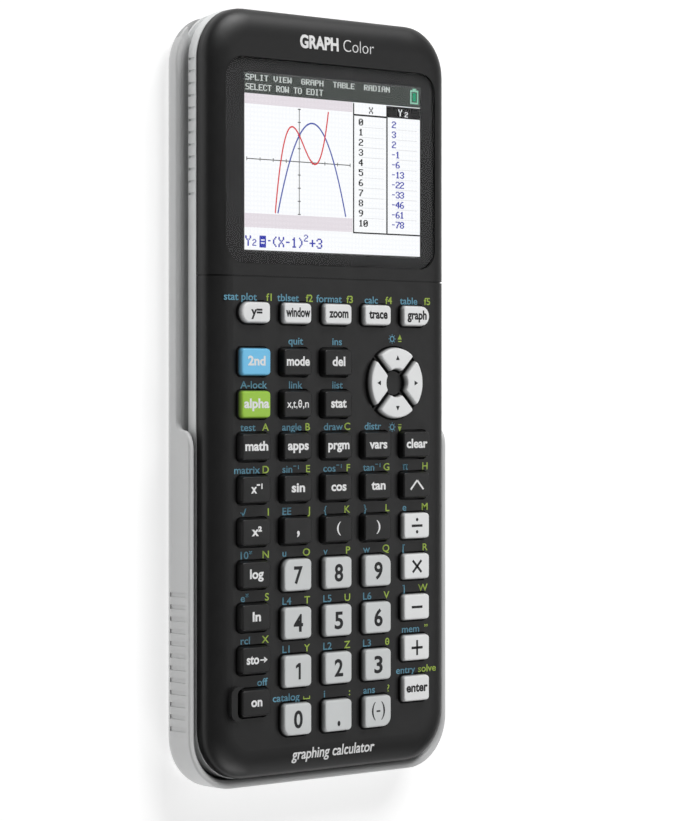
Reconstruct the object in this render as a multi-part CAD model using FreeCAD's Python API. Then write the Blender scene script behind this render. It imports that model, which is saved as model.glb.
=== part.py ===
"""Graphing calculator: handheld body with fifty keys, colour display and a slide-on case.

Frame: the calculator lies on its back. +X is to the right of the face, +Y runs towards
the display end and +Z comes out of the face. The origin is under the middle of the
object, on the outer face of the slide case. All dimensions are in millimetres.
"""
import FreeCAD, Part
import math
import os

Vector = FreeCAD.Vector
Y_AXIS = Vector(0, 1, 0)
Z_AXIS = Vector(0, 0, 1)

# ---- driving dimensions -------------------------------------------------------------

# Overall plan
TOP_Y = 94.5                # display end of the body
BOTTOM_Y = -94.5            # closed end of the slide case
BODY_HALF_WIDTH = 39.3
BODY_BOTTOM_Y = -92.1
BODY_CORNER = 12.5

# Levels above the back of the slide case
CASE_FLOOR = 1.5
BACK_Z = 2.0                # back of the rear shell
BACK_WALL = 1.5
GROOVE_LOW_Z = 3.4
GROOVE_HIGH_Z = 5.9
BOARD_Z = 7.5
BOARD_THICKNESS = 1.0
SHEET_THICKNESS = 0.8
PARTING_Z = 9.1             # joint between the two housings
FLANGE_Z = 11.9
FLANGE_THICKNESS = 0.8
FACE_WALL = 1.6
FACE_Z = 14.4
KEY_TOP_Z = 16.2

# Front housing
SHOULDER_WIDTH = 7.0
SHOULDER_HEIGHT = 3.5
SIDE_WALL = 1.5
SEAM_Y = 29.6
SEAM_WIDTH = 0.35
SEAM_DEPTH = 0.3
GUARD_OUTER = (-33.8, -29.0, -77.6, -69.2)      # bracket beside the power key
GUARD_INNER = (-31.9, -25.0, -77.0, -69.8)
GUARD_CORNERS = (2.2, 1.4)
GUARD_HEIGHT = 1.2

# Rear shell
STRIP_HALF_WIDTH = 39.6
STRIP_BOTTOM_Y = -92.3
STRIP_CORNER = 12.8
GROOVE_INSET = 2.0
BACK_INSET = 0.5
STRIP_ROLL = 0.5
BACK_ROLL = 0.6
REAR_CAVITY_HALF_WIDTH = 36.3
GRIP_SLOTS = 12
GRIP_FIRST_Y = 81.7
GRIP_PITCH = 2.95
GRIP_WIDTH = 0.6
GRIP_DEPTH = 0.45
GRIP_Z = (6.4, 8.7)

# Display
WINDOW_HALF_WIDTH = 34.5
WINDOW_Y = (32.7, 82.6)
WINDOW_CORNER = 5.3
WINDOW_Z = (13.4, 14.1)
WINDOW_GAP = 0.15
MODULE_CENTRE = (0.94, 57.75)
MODULE_SIZE = (62.0, 47.0)
MODULE_Z = (10.2, 13.3)
GLASS_LOW_Z = 11.8          # top of the backlight tray, under the display's glass
GLASS_CORNER = 0.4
TRAY_INSET = 0.5
TRAY_TAIL = 1.5             # how far the tray reaches past the glass at its lower end
TRAY_CORNER = 0.8
APERTURE_HALF_WIDTH = 33.0
APERTURE_Y = (33.7, 81.8)
APERTURE_CORNER = 2.0

# Keys
COLUMN_PITCH = 13.226
ROW_PITCH = 10.287
FUNCTION_ROW_Y = 20.79
FIRST_ROW_Y = 8.87
NUMBER_ROW_Y = -43.10
NUMBER_PITCH = 11.749
KEY_GAP = 0.3               # running gap between a key and its hole, all round
FLANGE_WIDTH = 0.6          # how far a key's flange reaches behind the face
FLANGE_GAP = 0.1
KEY_CHAMFER = 0.4
PAD_CENTRE = (19.8, 3.83)
PAD_OUTER = 9.1
PAD_INNER = 3.3
PAD_GAP = 1.1               # width of the diagonal gaps between the arrow keys
PAD_TAPER = 0.4

# Silicone sheet under the keys
SHEET_HALF_WIDTH = 31.5
SHEET_Y = (-83.2, 25.0)
SHEET_CORNER = 3.0
DOME_RADII = (2.7, 1.7)     # at the sheet and at the key
DOME_WALL = 0.5
DOME_ROOF = 0.8

# Circuit board and what is soldered to it
BOARD_HALF_WIDTH = 32.0
BOARD_Y = (-83.5, 36.0)
BOARD_CORNER = 2.0
BOARD_ARM = (31.0, 35.8, 20.0, 84.0)            # beside the display
BOARD_BAR = (8.0, 35.8, 80.8, 84.0)             # above the battery bay
BOARD_TONGUE = (12.0, 26.4, 84.0, 91.0)         # carries the socket and the light
CHIPS = [                   # two corners in plan and the height
    (-12.0, 2.0, -22.0, -8.0, 1.2),
    (10.0, 20.0, -18.0, -10.0, 1.0),
    (-24.0, -18.0, -40.0, -34.0, 0.9),
    (8.0, 13.0, -40.0, -35.0, 0.9),
    (-26.0, -20.0, 14.0, 20.0, 1.0),
]
PASSIVES = 8
PASSIVE_FIRST_X = -15.0
PASSIVE_PITCH = 4.0
PASSIVE_SIZE = (1.2, 2.5, 0.6)
PASSIVE_Y = -50.0
BATTERY_SOCKET = (-26.0, -12.0, 33.0, 36.0)
BATTERY_SOCKET_Z = 4.6

# Slide case
CASE_HALF_WIDTH = 42.4
CASE_TOP_Y = 93.3
CASE_CORNER = 13.0
CASE_WALL = 2.0
CASE_EDGE = 3.2             # rounded edge between the case's back and its sides
CASE_HIGH_Z = 10.1
CASE_LOW_Z = 5.1
CASE_RIM_RADIUS = 0.5       # outside of the case's rim
CASE_LIP_RADIUS = 1.3       # inside of the case's rim
STEP_START_Y = -5.4
STEP_CONCAVE = 2.2
STEP_CONVEX_LENGTH = 4.5
RAIL_HALF_WIDTH = 38.3      # inner faces of the two rails that run in the body's grooves
RAIL_Z = (3.6, 4.6)
RAIL_BOTTOM_Y = -80.0
CASE_GRIP_FIRST_Y = -47.15
CASE_GRIP_PITCH = 2.94
CASE_GRIP_WIDTH = 1.1
CASE_GRIP_DEPTH = 0.35
CASE_GRIP_Z = (2.6, 8.7)

# Screws and bosses
SCREW_POINTS = [
    (-29.5, 87.6), (29.5, 87.6),
    (-33.2, 28.4), (33.2, 28.4),
    (-29.5, -86.0), (29.5, -86.0),
]
DOOR_SCREW = (0.0, 35.0)
SCREW_RADIUS = 1.0
SCREW_HEAD_RADIUS = 1.9
SCREW_HEAD_HEIGHT = 1.3
SCREW_TIP_Z = 11.6
SCREW_SLOT = (2.2, 0.5, 0.8)    # length, width and depth of the cross recess
THREAD_GAP = 0.05
SHANK_GAP = 0.15
HEAD_GAP = 0.25
FRONT_BOSS_TOP_Z = 13.4
FRONT_BOSS_RADIUS = 2.2
REAR_BOSS_RADIUS = 2.9
HEAD_SEAT_Z = 3.8
BOSS_JOINT_Z = 9.0

# Battery bay, open at the back and closed by the door
BATTERY_HALF_WIDTH = 28.0
BATTERY_Y = (40.0, 78.0)
BATTERY_Z = (3.7, 8.5)
BAY_WALL = 1.0
BAY_GAP = 1.0
BAY_CORNERS = (2.0, 1.0)        # outside and inside the bay's walls
BAY_CEILING_GAP = 0.2
BATTERY_CORNER = 2.5
BATTERY_ROLL = 1.0
CONTACTS = 3
CONTACT_FIRST_X = -24.0
CONTACT_PITCH = 4.0
CONTACT_WIDTH = 2.0
CONTACT_REACH = 0.4
CONTACT_Z = (5.2, 7.0)
DOOR_HALF_WIDTH = 30.7
DOOR_Y = (31.3, 80.7)
DOOR_THICKNESS = 0.8
DOOR_CORNER = 2.0
DOOR_PLATE_LOW_Z = 2.1          # the door sits a hair inside the back
FINGER_SLOT = (10.0, 0.6, 0.4)  # width, length and depth
DOOR_CUP_RADIUS = 2.9       # well in the door that the screw's head sits in
DOOR_CUP_Z = 4.5
DOOR_BOSS_RADIUS = 4.2
DOOR_HEAD_SEAT_Z = 3.6
DOOR_SCREW_TIP_Z = 6.7

# Socket and small openings
USB_X = 20.0
USB_SIZE = (7.7, 9.0, 3.6)
USB_WALL = 0.4
USB_SETBACK = 0.8               # the socket's mouth stands this far behind the end of the body
USB_BACK_WALL = 1.5
USB_TONGUE_HALF_WIDTH = 2.4
USB_TONGUE_DROP = (2.3, 1.3)    # below the board
RESET_POINT = (0.0, 18.0)
RESET_HOLE_RADIUS = 0.9
RESET_HALF_WIDTH = 2.2
RESET_SWITCH_Z = 5.2
RESET_PIN_RADIUS = 0.7
RESET_PIN_Z = 3.9
LED_X = 13.5
LED_Z = 6.8
LED_RADIUS = 0.6
LED_LENGTH = 6.3
LED_SETBACK = 0.2

OVERCUT = 5.0               # how far a cutting tool runs past what it cuts
TOUCH = 0.001               # two shapes this close are taken to touch


# ---- outlines and simple solids -----------------------------------------------------

def rounded_wire(x_low, x_high, y_low, y_high, z, radii):
    """Closed rectangle at height z; radii are top left, top right, bottom right, bottom left."""
    limit = min(x_high - x_low, y_high - y_low) / 2 - 0.02
    top_left, top_right, low_right, low_left = [min(radius, limit) for radius in radii]
    corners = [
        (x_high, y_high, top_right, 0.0),
        (x_low, y_high, top_left, 90.0),
        (x_low, y_low, low_left, 180.0),
        (x_high, y_low, low_right, 270.0),
    ]
    arcs = []
    for corner_x, corner_y, radius, start in corners:
        centre_x = corner_x - math.copysign(radius, corner_x - (x_low + x_high) / 2)
        centre_y = corner_y - math.copysign(radius, corner_y - (y_low + y_high) / 2)
        points = []
        for turn in (0.0, 45.0, 90.0):
            angle = math.radians(start + turn)
            points.append(Vector(centre_x + radius * math.cos(angle),
                                 centre_y + radius * math.sin(angle), z))
        arcs.append(points)
    edges = []
    for points, following in zip(arcs, arcs[1:] + arcs[:1]):
        edges.append(Part.Arc(*points).toShape())
        edges.append(Part.LineSegment(points[2], following[0]).toShape())
    return Part.Wire(edges)


def rounded_plate(x_low, x_high, y_low, y_high, z_low, z_high, radius):
    """Flat plate with four equal corners."""
    wire = rounded_wire(x_low, x_high, y_low, y_high, z_low, [radius] * 4)
    return Part.Face(wire).extrude(Vector(0, 0, z_high - z_low))


def box(x_low, x_high, y_low, y_high, z_low, z_high):
    """Plain block between two corners."""
    corner = Vector(x_low, y_low, z_low)
    return Part.makeBox(x_high - x_low, y_high - y_low, z_high - z_low, corner)


def post(point, radius, z_low, z_high):
    """Upright cylinder at a plan point."""
    return Part.makeCylinder(radius, z_high - z_low, Vector(point[0], point[1], z_low), Z_AXIS)


def join(shapes):
    """One clean solid from overlapping or touching solids."""
    joined = shapes[0].multiFuse(shapes[1:])
    return joined.removeSplitter()


def edge_profile(z_low, z_high, reach, top_roll=(0, 0), bottom_roll=(0, 0)):
    """Face in the XZ plane from x=0 to x=reach, with its outer corners rolled.

    Each roll is (width, height) of a quarter ellipse; (0, 0) leaves a square corner.
    """
    top_width, top_height = top_roll
    low_width, low_height = bottom_roll
    low_inner = Vector(reach - low_width, 0, z_low)
    low_outer = Vector(reach, 0, z_low + low_height)
    high_outer = Vector(reach, 0, z_high - top_height)
    high_inner = Vector(reach - top_width, 0, z_high)
    edges = [Part.LineSegment(Vector(0, 0, z_low), low_inner).toShape()]
    if low_width:
        centre = Vector(reach - low_width, 0, z_low + low_height)
        edges.append(quarter_roll(centre, low_inner, low_outer))
    edges.append(Part.LineSegment(low_outer, high_outer).toShape())
    if top_width:
        centre = Vector(reach - top_width, 0, z_high - top_height)
        edges.append(quarter_roll(centre, high_outer, high_inner))
    edges.append(Part.LineSegment(high_inner, Vector(0, 0, z_high)).toShape())
    edges.append(Part.LineSegment(Vector(0, 0, z_high), Vector(0, 0, z_low)).toShape())
    return Part.Face(Part.Wire(edges))


def quarter_roll(centre, start, end):
    """Quarter ellipse in the XZ plane between two points level and plumb with its centre."""
    width = max(abs(start.x - centre.x), abs(end.x - centre.x))
    height = max(abs(start.z - centre.z), abs(end.z - centre.z))
    if abs(width - height) < 1e-6:
        conic = Part.Circle(centre, Vector(0, -1, 0), width)
        first = conic.parameter(start)
        last = conic.parameter(end)
    else:
        major, minor = (Vector(width, 0, 0), Vector(0, 0, height))
        if height > width:
            major, minor = (minor, -major)
        conic = Part.Ellipse(centre + major, centre + minor, centre)
        first = conic.parameter(start)
        last = conic.parameter(end)
    if last < first - 1e-9:
        last += 2 * math.pi
    return Part.Edge(conic, first, last)


def rolled_slab(half_width, y_low, y_high, corner, z_low, z_high, top_roll=(0, 0), bottom_roll=(0, 0)):
    """Rounded rectangle slab whose upper and lower edges are rolled all the way round."""
    profile = edge_profile(z_low, z_high, corner, top_roll, bottom_roll)
    inner_x = half_width - corner
    inner_low = y_low + corner
    inner_high = y_high - corner
    pieces = [box(-inner_x, inner_x, inner_low, inner_high, z_low, z_high)]
    corners = [(inner_x, inner_high, 0), (-inner_x, inner_high, 90),
               (-inner_x, inner_low, 180), (inner_x, inner_low, 270)]
    for x, y, angle in corners:
        quarter = profile.revolve(Vector(0, 0, 0), Z_AXIS, 90)
        quarter.rotate(Vector(0, 0, 0), Z_AXIS, angle)
        quarter.translate(Vector(x, y, 0))
        pieces.append(quarter)
    runs = [(inner_x, inner_low, 0, inner_high - inner_low),
            (inner_x, inner_high, 90, 2 * inner_x),
            (-inner_x, inner_high, 180, inner_high - inner_low),
            (-inner_x, inner_low, 270, 2 * inner_x)]
    for x, y, angle, length in runs:
        run = profile.extrude(Vector(0, length, 0))
        run.rotate(Vector(0, 0, 0), Z_AXIS, angle)
        run.translate(Vector(x, y, 0))
        pieces.append(run)
    return join(pieces)


# ---- keys ---------------------------------------------------------------------------

class KeyStyle:
    """Base size, top size and corner radius of one family of keys."""

    def __init__(self, base, top, corner):
        self.base = base
        self.top = top
        self.corner = corner


FUNCTION_KEY = KeyStyle(base=(9.4, 5.5), top=(8.6, 4.7), corner=1.3)
DARK_KEY = KeyStyle(base=(9.6, 7.0), top=(8.7, 6.2), corner=1.2)
OPERATOR_KEY = KeyStyle(base=(9.3, 6.9), top=(8.4, 6.0), corner=1.2)
NUMBER_KEY = KeyStyle(base=(9.4, 8.3), top=(8.5, 7.4), corner=1.4)
WIDE_CORNER = 2.7           # the outer corners of the number block
ROUND_END = 2.7             # the outer ends of the function row


def key_layout():
    """Every straight key as (name, x, y, style, corner radii)."""
    keys = []

    def add(name, column, y, style, radii=None):
        x = (column - 3) * COLUMN_PITCH
        keys.append((name, x, y, style, radii or [style.corner] * 4))

    function_names = ["y_equals", "window", "zoom", "trace", "graph"]
    for column, name in enumerate(function_names, start=1):
        corner = FUNCTION_KEY.corner
        radii = [corner] * 4
        if column == 1:
            radii = [ROUND_END, corner, corner, ROUND_END]
        if column == 5:
            radii = [corner, ROUND_END, ROUND_END, corner]
        add(name, column, FUNCTION_ROW_Y, FUNCTION_KEY, radii)

    dark_rows = [
        ["second", "mode", "delete"],
        ["alpha", "variable", "stat"],
        ["math", "apps", "program", "vars", "clear"],
        ["inverse", "sine", "cosine", "tangent", "power"],
        ["square", "comma", "open_bracket", "close_bracket"],
    ]
    for row, names in enumerate(dark_rows):
        for column, name in enumerate(names, start=1):
            add(name, column, FIRST_ROW_Y - row * ROW_PITCH, DARK_KEY)
    for row, name in enumerate(["log", "ln", "store", "on"], start=5):
        add(name, 1, FIRST_ROW_Y - row * ROW_PITCH, DARK_KEY)
    for row, name in enumerate(["divide", "multiply", "minus", "plus", "enter"], start=4):
        add(name, 5, FIRST_ROW_Y - row * ROW_PITCH, OPERATOR_KEY)

    number_rows = [["7", "8", "9"], ["4", "5", "6"], ["1", "2", "3"], ["0", "decimal", "negative"]]
    outer_corners = {"7": 0, "9": 1, "negative": 2, "0": 3}
    for row, names in enumerate(number_rows):
        for column, name in enumerate(names, start=2):
            radii = [NUMBER_KEY.corner] * 4
            if name in outer_corners:
                radii[outer_corners[name]] = WIDE_CORNER
            add(name, column, NUMBER_ROW_Y - row * NUMBER_PITCH, NUMBER_KEY, radii)
    return keys


def key_wire(x, y, size, radii, z, grow=0.0):
    """Outline of a key at height z, grown all round by the given amount."""
    half_x = size[0] / 2 + grow
    half_y = size[1] / 2 + grow
    grown = [max(radius + grow, 0.3) for radius in radii]
    return rounded_wire(x - half_x, x + half_x, y - half_y, y + half_y, z, grown)


def key_solid(x, y, style, radii):
    """Key cap: straight skirt in the hole, tapered walls above the face and a hidden flange."""
    flange_top = FLANGE_Z + FLANGE_THICKNESS
    sections = [
        key_wire(x, y, style.base, radii, flange_top),
        key_wire(x, y, style.base, radii, FACE_Z),
        key_wire(x, y, style.top, radii, KEY_TOP_Z - KEY_CHAMFER, KEY_CHAMFER / 4),
        key_wire(x, y, style.top, radii, KEY_TOP_Z, -KEY_CHAMFER),
    ]
    cap = Part.makeLoft(sections, True, True)
    flange_wire = key_wire(x, y, style.base, radii, FLANGE_Z, KEY_GAP + FLANGE_WIDTH)
    flange = Part.Face(flange_wire).extrude(Vector(0, 0, FLANGE_THICKNESS))
    return join([cap, flange])


def key_hole(x, y, style, radii):
    """Cutting tool for the key's hole through the face."""
    wire = key_wire(x, y, style.base, radii, PARTING_Z, KEY_GAP)
    return Part.Face(wire).extrude(Vector(0, 0, FACE_Z - PARTING_Z + OVERCUT))


def petal_wire(inner, outer, gap, z):
    """Quarter of a ring about the origin, centred on +X, cut by gaps along both diagonals."""
    points = []
    for radius in (outer, inner):
        half_angle = math.pi / 4 - math.asin(gap / 2 / radius)
        for angle in (-half_angle, 0.0, half_angle):
            points.append(Vector(radius * math.cos(angle), radius * math.sin(angle), z))
    outer_low, outer_mid, outer_high, inner_low, inner_mid, inner_high = points
    return Part.Wire([
        Part.Arc(outer_low, outer_mid, outer_high).toShape(),
        Part.LineSegment(outer_high, inner_high).toShape(),
        Part.Arc(inner_high, inner_mid, inner_low).toShape(),
        Part.LineSegment(inner_low, outer_low).toShape(),
    ])


def place_petal(shape, angle):
    """Turn a petal made about the origin and move it to the arrow pad."""
    placed = shape.copy()
    placed.rotate(Vector(0, 0, 0), Z_AXIS, angle)
    placed.translate(Vector(PAD_CENTRE[0], PAD_CENTRE[1], 0))
    return placed


def arrow_key():
    """One arrow key, pointing along +X from the origin."""
    flange_top = FLANGE_Z + FLANGE_THICKNESS
    insets = [(flange_top, 0.0), (FACE_Z, 0.0), (KEY_TOP_Z - KEY_CHAMFER, PAD_TAPER),
              (KEY_TOP_Z, PAD_TAPER + KEY_CHAMFER)]
    sections = []
    for z, inset in insets:
        sections.append(petal_wire(PAD_INNER + inset, PAD_OUTER - inset, PAD_GAP + 2 * inset, z))
    cap = Part.makeLoft(sections, True, True)
    reach = KEY_GAP + FLANGE_WIDTH
    flange_wire = petal_wire(PAD_INNER - reach, PAD_OUTER + reach, PAD_GAP, FLANGE_Z)
    flange = Part.Face(flange_wire).extrude(Vector(0, 0, FLANGE_THICKNESS))
    return join([cap, flange])


def arrow_hole():
    """Cutting tool for one arrow key's hole."""
    wire = petal_wire(PAD_INNER - KEY_GAP, PAD_OUTER + KEY_GAP, PAD_GAP - 2 * KEY_GAP, PARTING_Z)
    return Part.Face(wire).extrude(Vector(0, 0, FACE_Z - PARTING_Z + OVERCUT))


ARROWS = [("right", 0), ("up", 90), ("left", 180), ("down", 270)]


# ---- front housing ------------------------------------------------------------------

def on_key_guard():
    """Raised bracket on the face that shields the power key from a stray press."""
    outer = rounded_plate(*GUARD_OUTER, FACE_Z - GUARD_HEIGHT / 2, FACE_Z + GUARD_HEIGHT, GUARD_CORNERS[0])
    inner = rounded_plate(*GUARD_INNER, FACE_Z - GUARD_HEIGHT, FACE_Z + 2 * GUARD_HEIGHT, GUARD_CORNERS[1])
    return outer.cut(inner)


def front_housing():
    """Black upper housing: face, shoulder and side walls, open at the back."""
    shell = rolled_slab(BODY_HALF_WIDTH, BODY_BOTTOM_Y, TOP_Y, BODY_CORNER, PARTING_Z, FACE_Z,
                        top_roll=(SHOULDER_WIDTH, SHOULDER_HEIGHT))
    cavity = rolled_slab(BODY_HALF_WIDTH - SIDE_WALL, BODY_BOTTOM_Y + SIDE_WALL, TOP_Y - SIDE_WALL,
                         BODY_CORNER - SIDE_WALL, PARTING_Z - OVERCUT, FACE_Z - FACE_WALL,
                         top_roll=(SHOULDER_WIDTH - SIDE_WALL, SHOULDER_HEIGHT))
    shell = shell.cut(cavity)
    shell = shell.cut(face_seam())
    bosses = [post(point, FRONT_BOSS_RADIUS, PARTING_Z, FRONT_BOSS_TOP_Z) for point in SCREW_POINTS]
    shell = join([shell, on_key_guard()] + bosses)
    tools = [post(point, SCREW_RADIUS + THREAD_GAP, PARTING_Z - 1, SCREW_TIP_Z + KEY_GAP)
             for point in SCREW_POINTS]
    tools.append(rounded_plate(-WINDOW_HALF_WIDTH, WINDOW_HALF_WIDTH, WINDOW_Y[0], WINDOW_Y[1],
                               WINDOW_Z[0], FACE_Z + OVERCUT, WINDOW_CORNER))
    tools.append(rounded_plate(-APERTURE_HALF_WIDTH, APERTURE_HALF_WIDTH, APERTURE_Y[0], APERTURE_Y[1],
                               PARTING_Z, FACE_Z, APERTURE_CORNER))
    tools += [key_hole(x, y, style, radii) for name, x, y, style, radii in key_layout()]
    tools += [place_petal(arrow_hole(), angle) for name, angle in ARROWS]
    return shell.cut(tools)


def face_seam():
    """Fine groove across the face, below the display, that runs down both sides."""
    band = box(-BODY_HALF_WIDTH - 1, BODY_HALF_WIDTH + 1, SEAM_Y - SEAM_WIDTH / 2,
               SEAM_Y + SEAM_WIDTH / 2, PARTING_Z - 1, FACE_Z + 1)
    core = rolled_slab(BODY_HALF_WIDTH - SEAM_DEPTH, BODY_BOTTOM_Y, TOP_Y, BODY_CORNER,
                       PARTING_Z - 2, FACE_Z - SEAM_DEPTH, top_roll=(SHOULDER_WIDTH, SHOULDER_HEIGHT))
    return band.cut(core)


# ---- rear shell ---------------------------------------------------------------------

def rear_shell():
    """Rear housing: silver side strip, case groove, back panel, battery bay and bosses."""
    strip = rolled_slab(STRIP_HALF_WIDTH, STRIP_BOTTOM_Y, TOP_Y, STRIP_CORNER,
                        GROOVE_HIGH_Z, PARTING_Z, bottom_roll=(STRIP_ROLL, STRIP_ROLL))
    groove = rounded_plate(-STRIP_HALF_WIDTH + GROOVE_INSET, STRIP_HALF_WIDTH - GROOVE_INSET,
                           STRIP_BOTTOM_Y + GROOVE_INSET, TOP_Y - GROOVE_INSET,
                           BACK_Z, GROOVE_HIGH_Z + 0.1, STRIP_CORNER - GROOVE_INSET)
    back = rolled_slab(STRIP_HALF_WIDTH - BACK_INSET, STRIP_BOTTOM_Y + BACK_INSET, TOP_Y - BACK_INSET,
                       BODY_CORNER, BACK_Z, GROOVE_LOW_Z, bottom_roll=(BACK_ROLL, BACK_ROLL))
    shell = join([strip, groove, back])
    inset = STRIP_HALF_WIDTH - REAR_CAVITY_HALF_WIDTH
    cavity = rounded_plate(-REAR_CAVITY_HALF_WIDTH, REAR_CAVITY_HALF_WIDTH,
                           STRIP_BOTTOM_Y + inset, TOP_Y - inset,
                           BACK_Z + BACK_WALL, PARTING_Z + OVERCUT, STRIP_CORNER - inset)
    shell = shell.cut(cavity)
    bosses = [post(point, REAR_BOSS_RADIUS, BACK_Z + 1, BOSS_JOINT_Z) for point in SCREW_POINTS]
    shell = join([shell, battery_bay()] + bosses)
    return shell.cut(rear_openings() + grip_slots())


def battery_bay():
    """Closed tray around the battery, with the boss for the door's screw beside it."""
    half = BATTERY_HALF_WIDTH + BAY_GAP
    low = BATTERY_Y[0] - BAY_GAP
    high = BATTERY_Y[1] + BAY_GAP
    ceiling = BATTERY_Z[1] + BAY_CEILING_GAP
    outer = rounded_plate(-half - BAY_WALL, half + BAY_WALL, low - BAY_WALL, high + BAY_WALL,
                          BACK_Z + 1, ceiling + BAY_WALL, BAY_CORNERS[0])
    inner = rounded_plate(-half, half, low, high, BACK_Z, ceiling, BAY_CORNERS[1])
    boss = post(DOOR_SCREW, DOOR_BOSS_RADIUS, BACK_Z + 1, BOARD_Z - KEY_GAP)
    return outer.cut(inner).fuse(boss)


def rear_openings():
    """Cutting tools for everything that opens the rear shell to the outside."""
    half = BATTERY_HALF_WIDTH + BAY_GAP
    tools = [
        rounded_plate(-half, half, BATTERY_Y[0] - BAY_GAP, BATTERY_Y[1] + BAY_GAP,
                      BACK_Z - 1, BACK_Z + BACK_WALL + 0.1, BAY_CORNERS[1]),
        rounded_plate(-DOOR_HALF_WIDTH - KEY_GAP, DOOR_HALF_WIDTH + KEY_GAP,
                      DOOR_Y[0] - KEY_GAP, DOOR_Y[1] + KEY_GAP,
                      BACK_Z - 1, BACK_Z + DOOR_THICKNESS + 0.1, DOOR_CORNER + KEY_GAP),
        post(DOOR_SCREW, DOOR_CUP_RADIUS + KEY_GAP, BACK_Z - 1, DOOR_CUP_Z + 0.1),
        post(DOOR_SCREW, SCREW_RADIUS + THREAD_GAP, BACK_Z, DOOR_SCREW_TIP_Z + 0.2),
        post(RESET_POINT, RESET_HOLE_RADIUS, BACK_Z - 1, BACK_Z + BACK_WALL + 1),
    ]
    for point in SCREW_POINTS:
        tools.append(post(point, SCREW_HEAD_RADIUS + HEAD_GAP, BACK_Z - 1, HEAD_SEAT_Z))
        tools.append(post(point, SCREW_RADIUS + SHANK_GAP, BACK_Z, BOSS_JOINT_Z + 1))
    usb_width, usb_depth, usb_height = USB_SIZE
    tools.append(rounded_plate(USB_X - usb_width / 2 - USB_WALL, USB_X + usb_width / 2 + USB_WALL,
                               TOP_Y - usb_depth, TOP_Y + 1,
                               BOARD_Z - usb_height - 0.2, BOARD_Z + 0.3, 0.3))
    light_start = Vector(LED_X, TOP_Y - LED_LENGTH - 1, LED_Z)
    tools.append(Part.makeCylinder(LED_RADIUS + 0.1, LED_LENGTH + 2, light_start, Y_AXIS))
    return tools


def grip_slots():
    """Cutting tools for the short finger grips in both side strips."""
    slots = []
    for side in (-1, 1):
        inner = side * (STRIP_HALF_WIDTH - GRIP_DEPTH)
        outer = side * (STRIP_HALF_WIDTH + 1)
        for index in range(GRIP_SLOTS):
            y = GRIP_FIRST_Y - index * GRIP_PITCH
            slots.append(box(min(inner, outer), max(inner, outer), y - GRIP_WIDTH / 2,
                             y + GRIP_WIDTH / 2, GRIP_Z[0], GRIP_Z[1]))
    return slots


def battery_door():
    """Door over the battery bay: thin plate with a locating pad and a countersunk screw hole."""
    plate = rounded_plate(-DOOR_HALF_WIDTH, DOOR_HALF_WIDTH, DOOR_Y[0], DOOR_Y[1],
                          DOOR_PLATE_LOW_Z, BACK_Z + DOOR_THICKNESS, DOOR_CORNER)
    half = BATTERY_HALF_WIDTH + BAY_GAP - KEY_GAP
    pad = rounded_plate(-half, half, BATTERY_Y[0] - BAY_GAP + KEY_GAP, BATTERY_Y[1] + BAY_GAP - KEY_GAP,
                        BACK_Z + DOOR_THICKNESS - 0.1, BATTERY_Z[0] - 0.1, BAY_CORNERS[1])
    cup = post(DOOR_SCREW, DOOR_CUP_RADIUS, DOOR_PLATE_LOW_Z, DOOR_CUP_Z)
    recess = post(DOOR_SCREW, SCREW_HEAD_RADIUS + HEAD_GAP, BACK_Z - 1, DOOR_HEAD_SEAT_Z)
    hole = post(DOOR_SCREW, SCREW_RADIUS + SHANK_GAP, BACK_Z - 1, DOOR_CUP_Z + 1)
    slot_width, slot_length, slot_depth = FINGER_SLOT
    finger_slot = box(-slot_width / 2, slot_width / 2, DOOR_Y[0] - 1, DOOR_Y[0] + slot_length,
                      BACK_Z - 1, BACK_Z + slot_depth)
    return join([plate, pad, cup]).cut([recess, hole, finger_slot])


def battery_pack():
    """Flat rechargeable pack with rounded long edges and a contact block at one end."""
    roll = (BATTERY_ROLL, BATTERY_ROLL)
    cell = rolled_slab(BATTERY_HALF_WIDTH, BATTERY_Y[0], BATTERY_Y[1], BATTERY_CORNER,
                       BATTERY_Z[0], BATTERY_Z[1], top_roll=roll, bottom_roll=roll)
    contacts = []
    for index in range(CONTACTS):
        x = CONTACT_FIRST_X + index * CONTACT_PITCH
        contacts.append(box(x, x + CONTACT_WIDTH, BATTERY_Y[0] - CONTACT_REACH, BATTERY_Y[0] + 1,
                            CONTACT_Z[0], CONTACT_Z[1]))
    return join([cell] + contacts)


# ---- inside -------------------------------------------------------------------------

def display_window():
    """Clear cover over the display, glued into its pocket in the face."""
    return rounded_plate(-WINDOW_HALF_WIDTH + WINDOW_GAP, WINDOW_HALF_WIDTH - WINDOW_GAP,
                         WINDOW_Y[0] + WINDOW_GAP, WINDOW_Y[1] - WINDOW_GAP,
                         WINDOW_Z[0], WINDOW_Z[1], WINDOW_CORNER - WINDOW_GAP)


def display_module():
    """Colour display: glass on a backlight tray."""
    x, y = MODULE_CENTRE
    half_x = MODULE_SIZE[0] / 2
    half_y = MODULE_SIZE[1] / 2
    glass = rounded_plate(x - half_x, x + half_x, y - half_y, y + half_y,
                          GLASS_LOW_Z, MODULE_Z[1], GLASS_CORNER)
    tray = rounded_plate(x - half_x + TRAY_INSET, x + half_x - TRAY_INSET,
                         y - half_y - TRAY_TAIL, y + half_y - TRAY_INSET,
                         MODULE_Z[0], GLASS_LOW_Z, TRAY_CORNER)
    return join([glass, tray])


def key_points():
    """Plan point under the middle of every key."""
    points = [(x, y) for name, x, y, style, radii in key_layout()]
    radius = (PAD_INNER + PAD_OUTER) / 2
    for name, angle in ARROWS:
        turn = math.radians(angle)
        points.append((PAD_CENTRE[0] + radius * math.cos(turn), PAD_CENTRE[1] + radius * math.sin(turn)))
    return points


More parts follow.
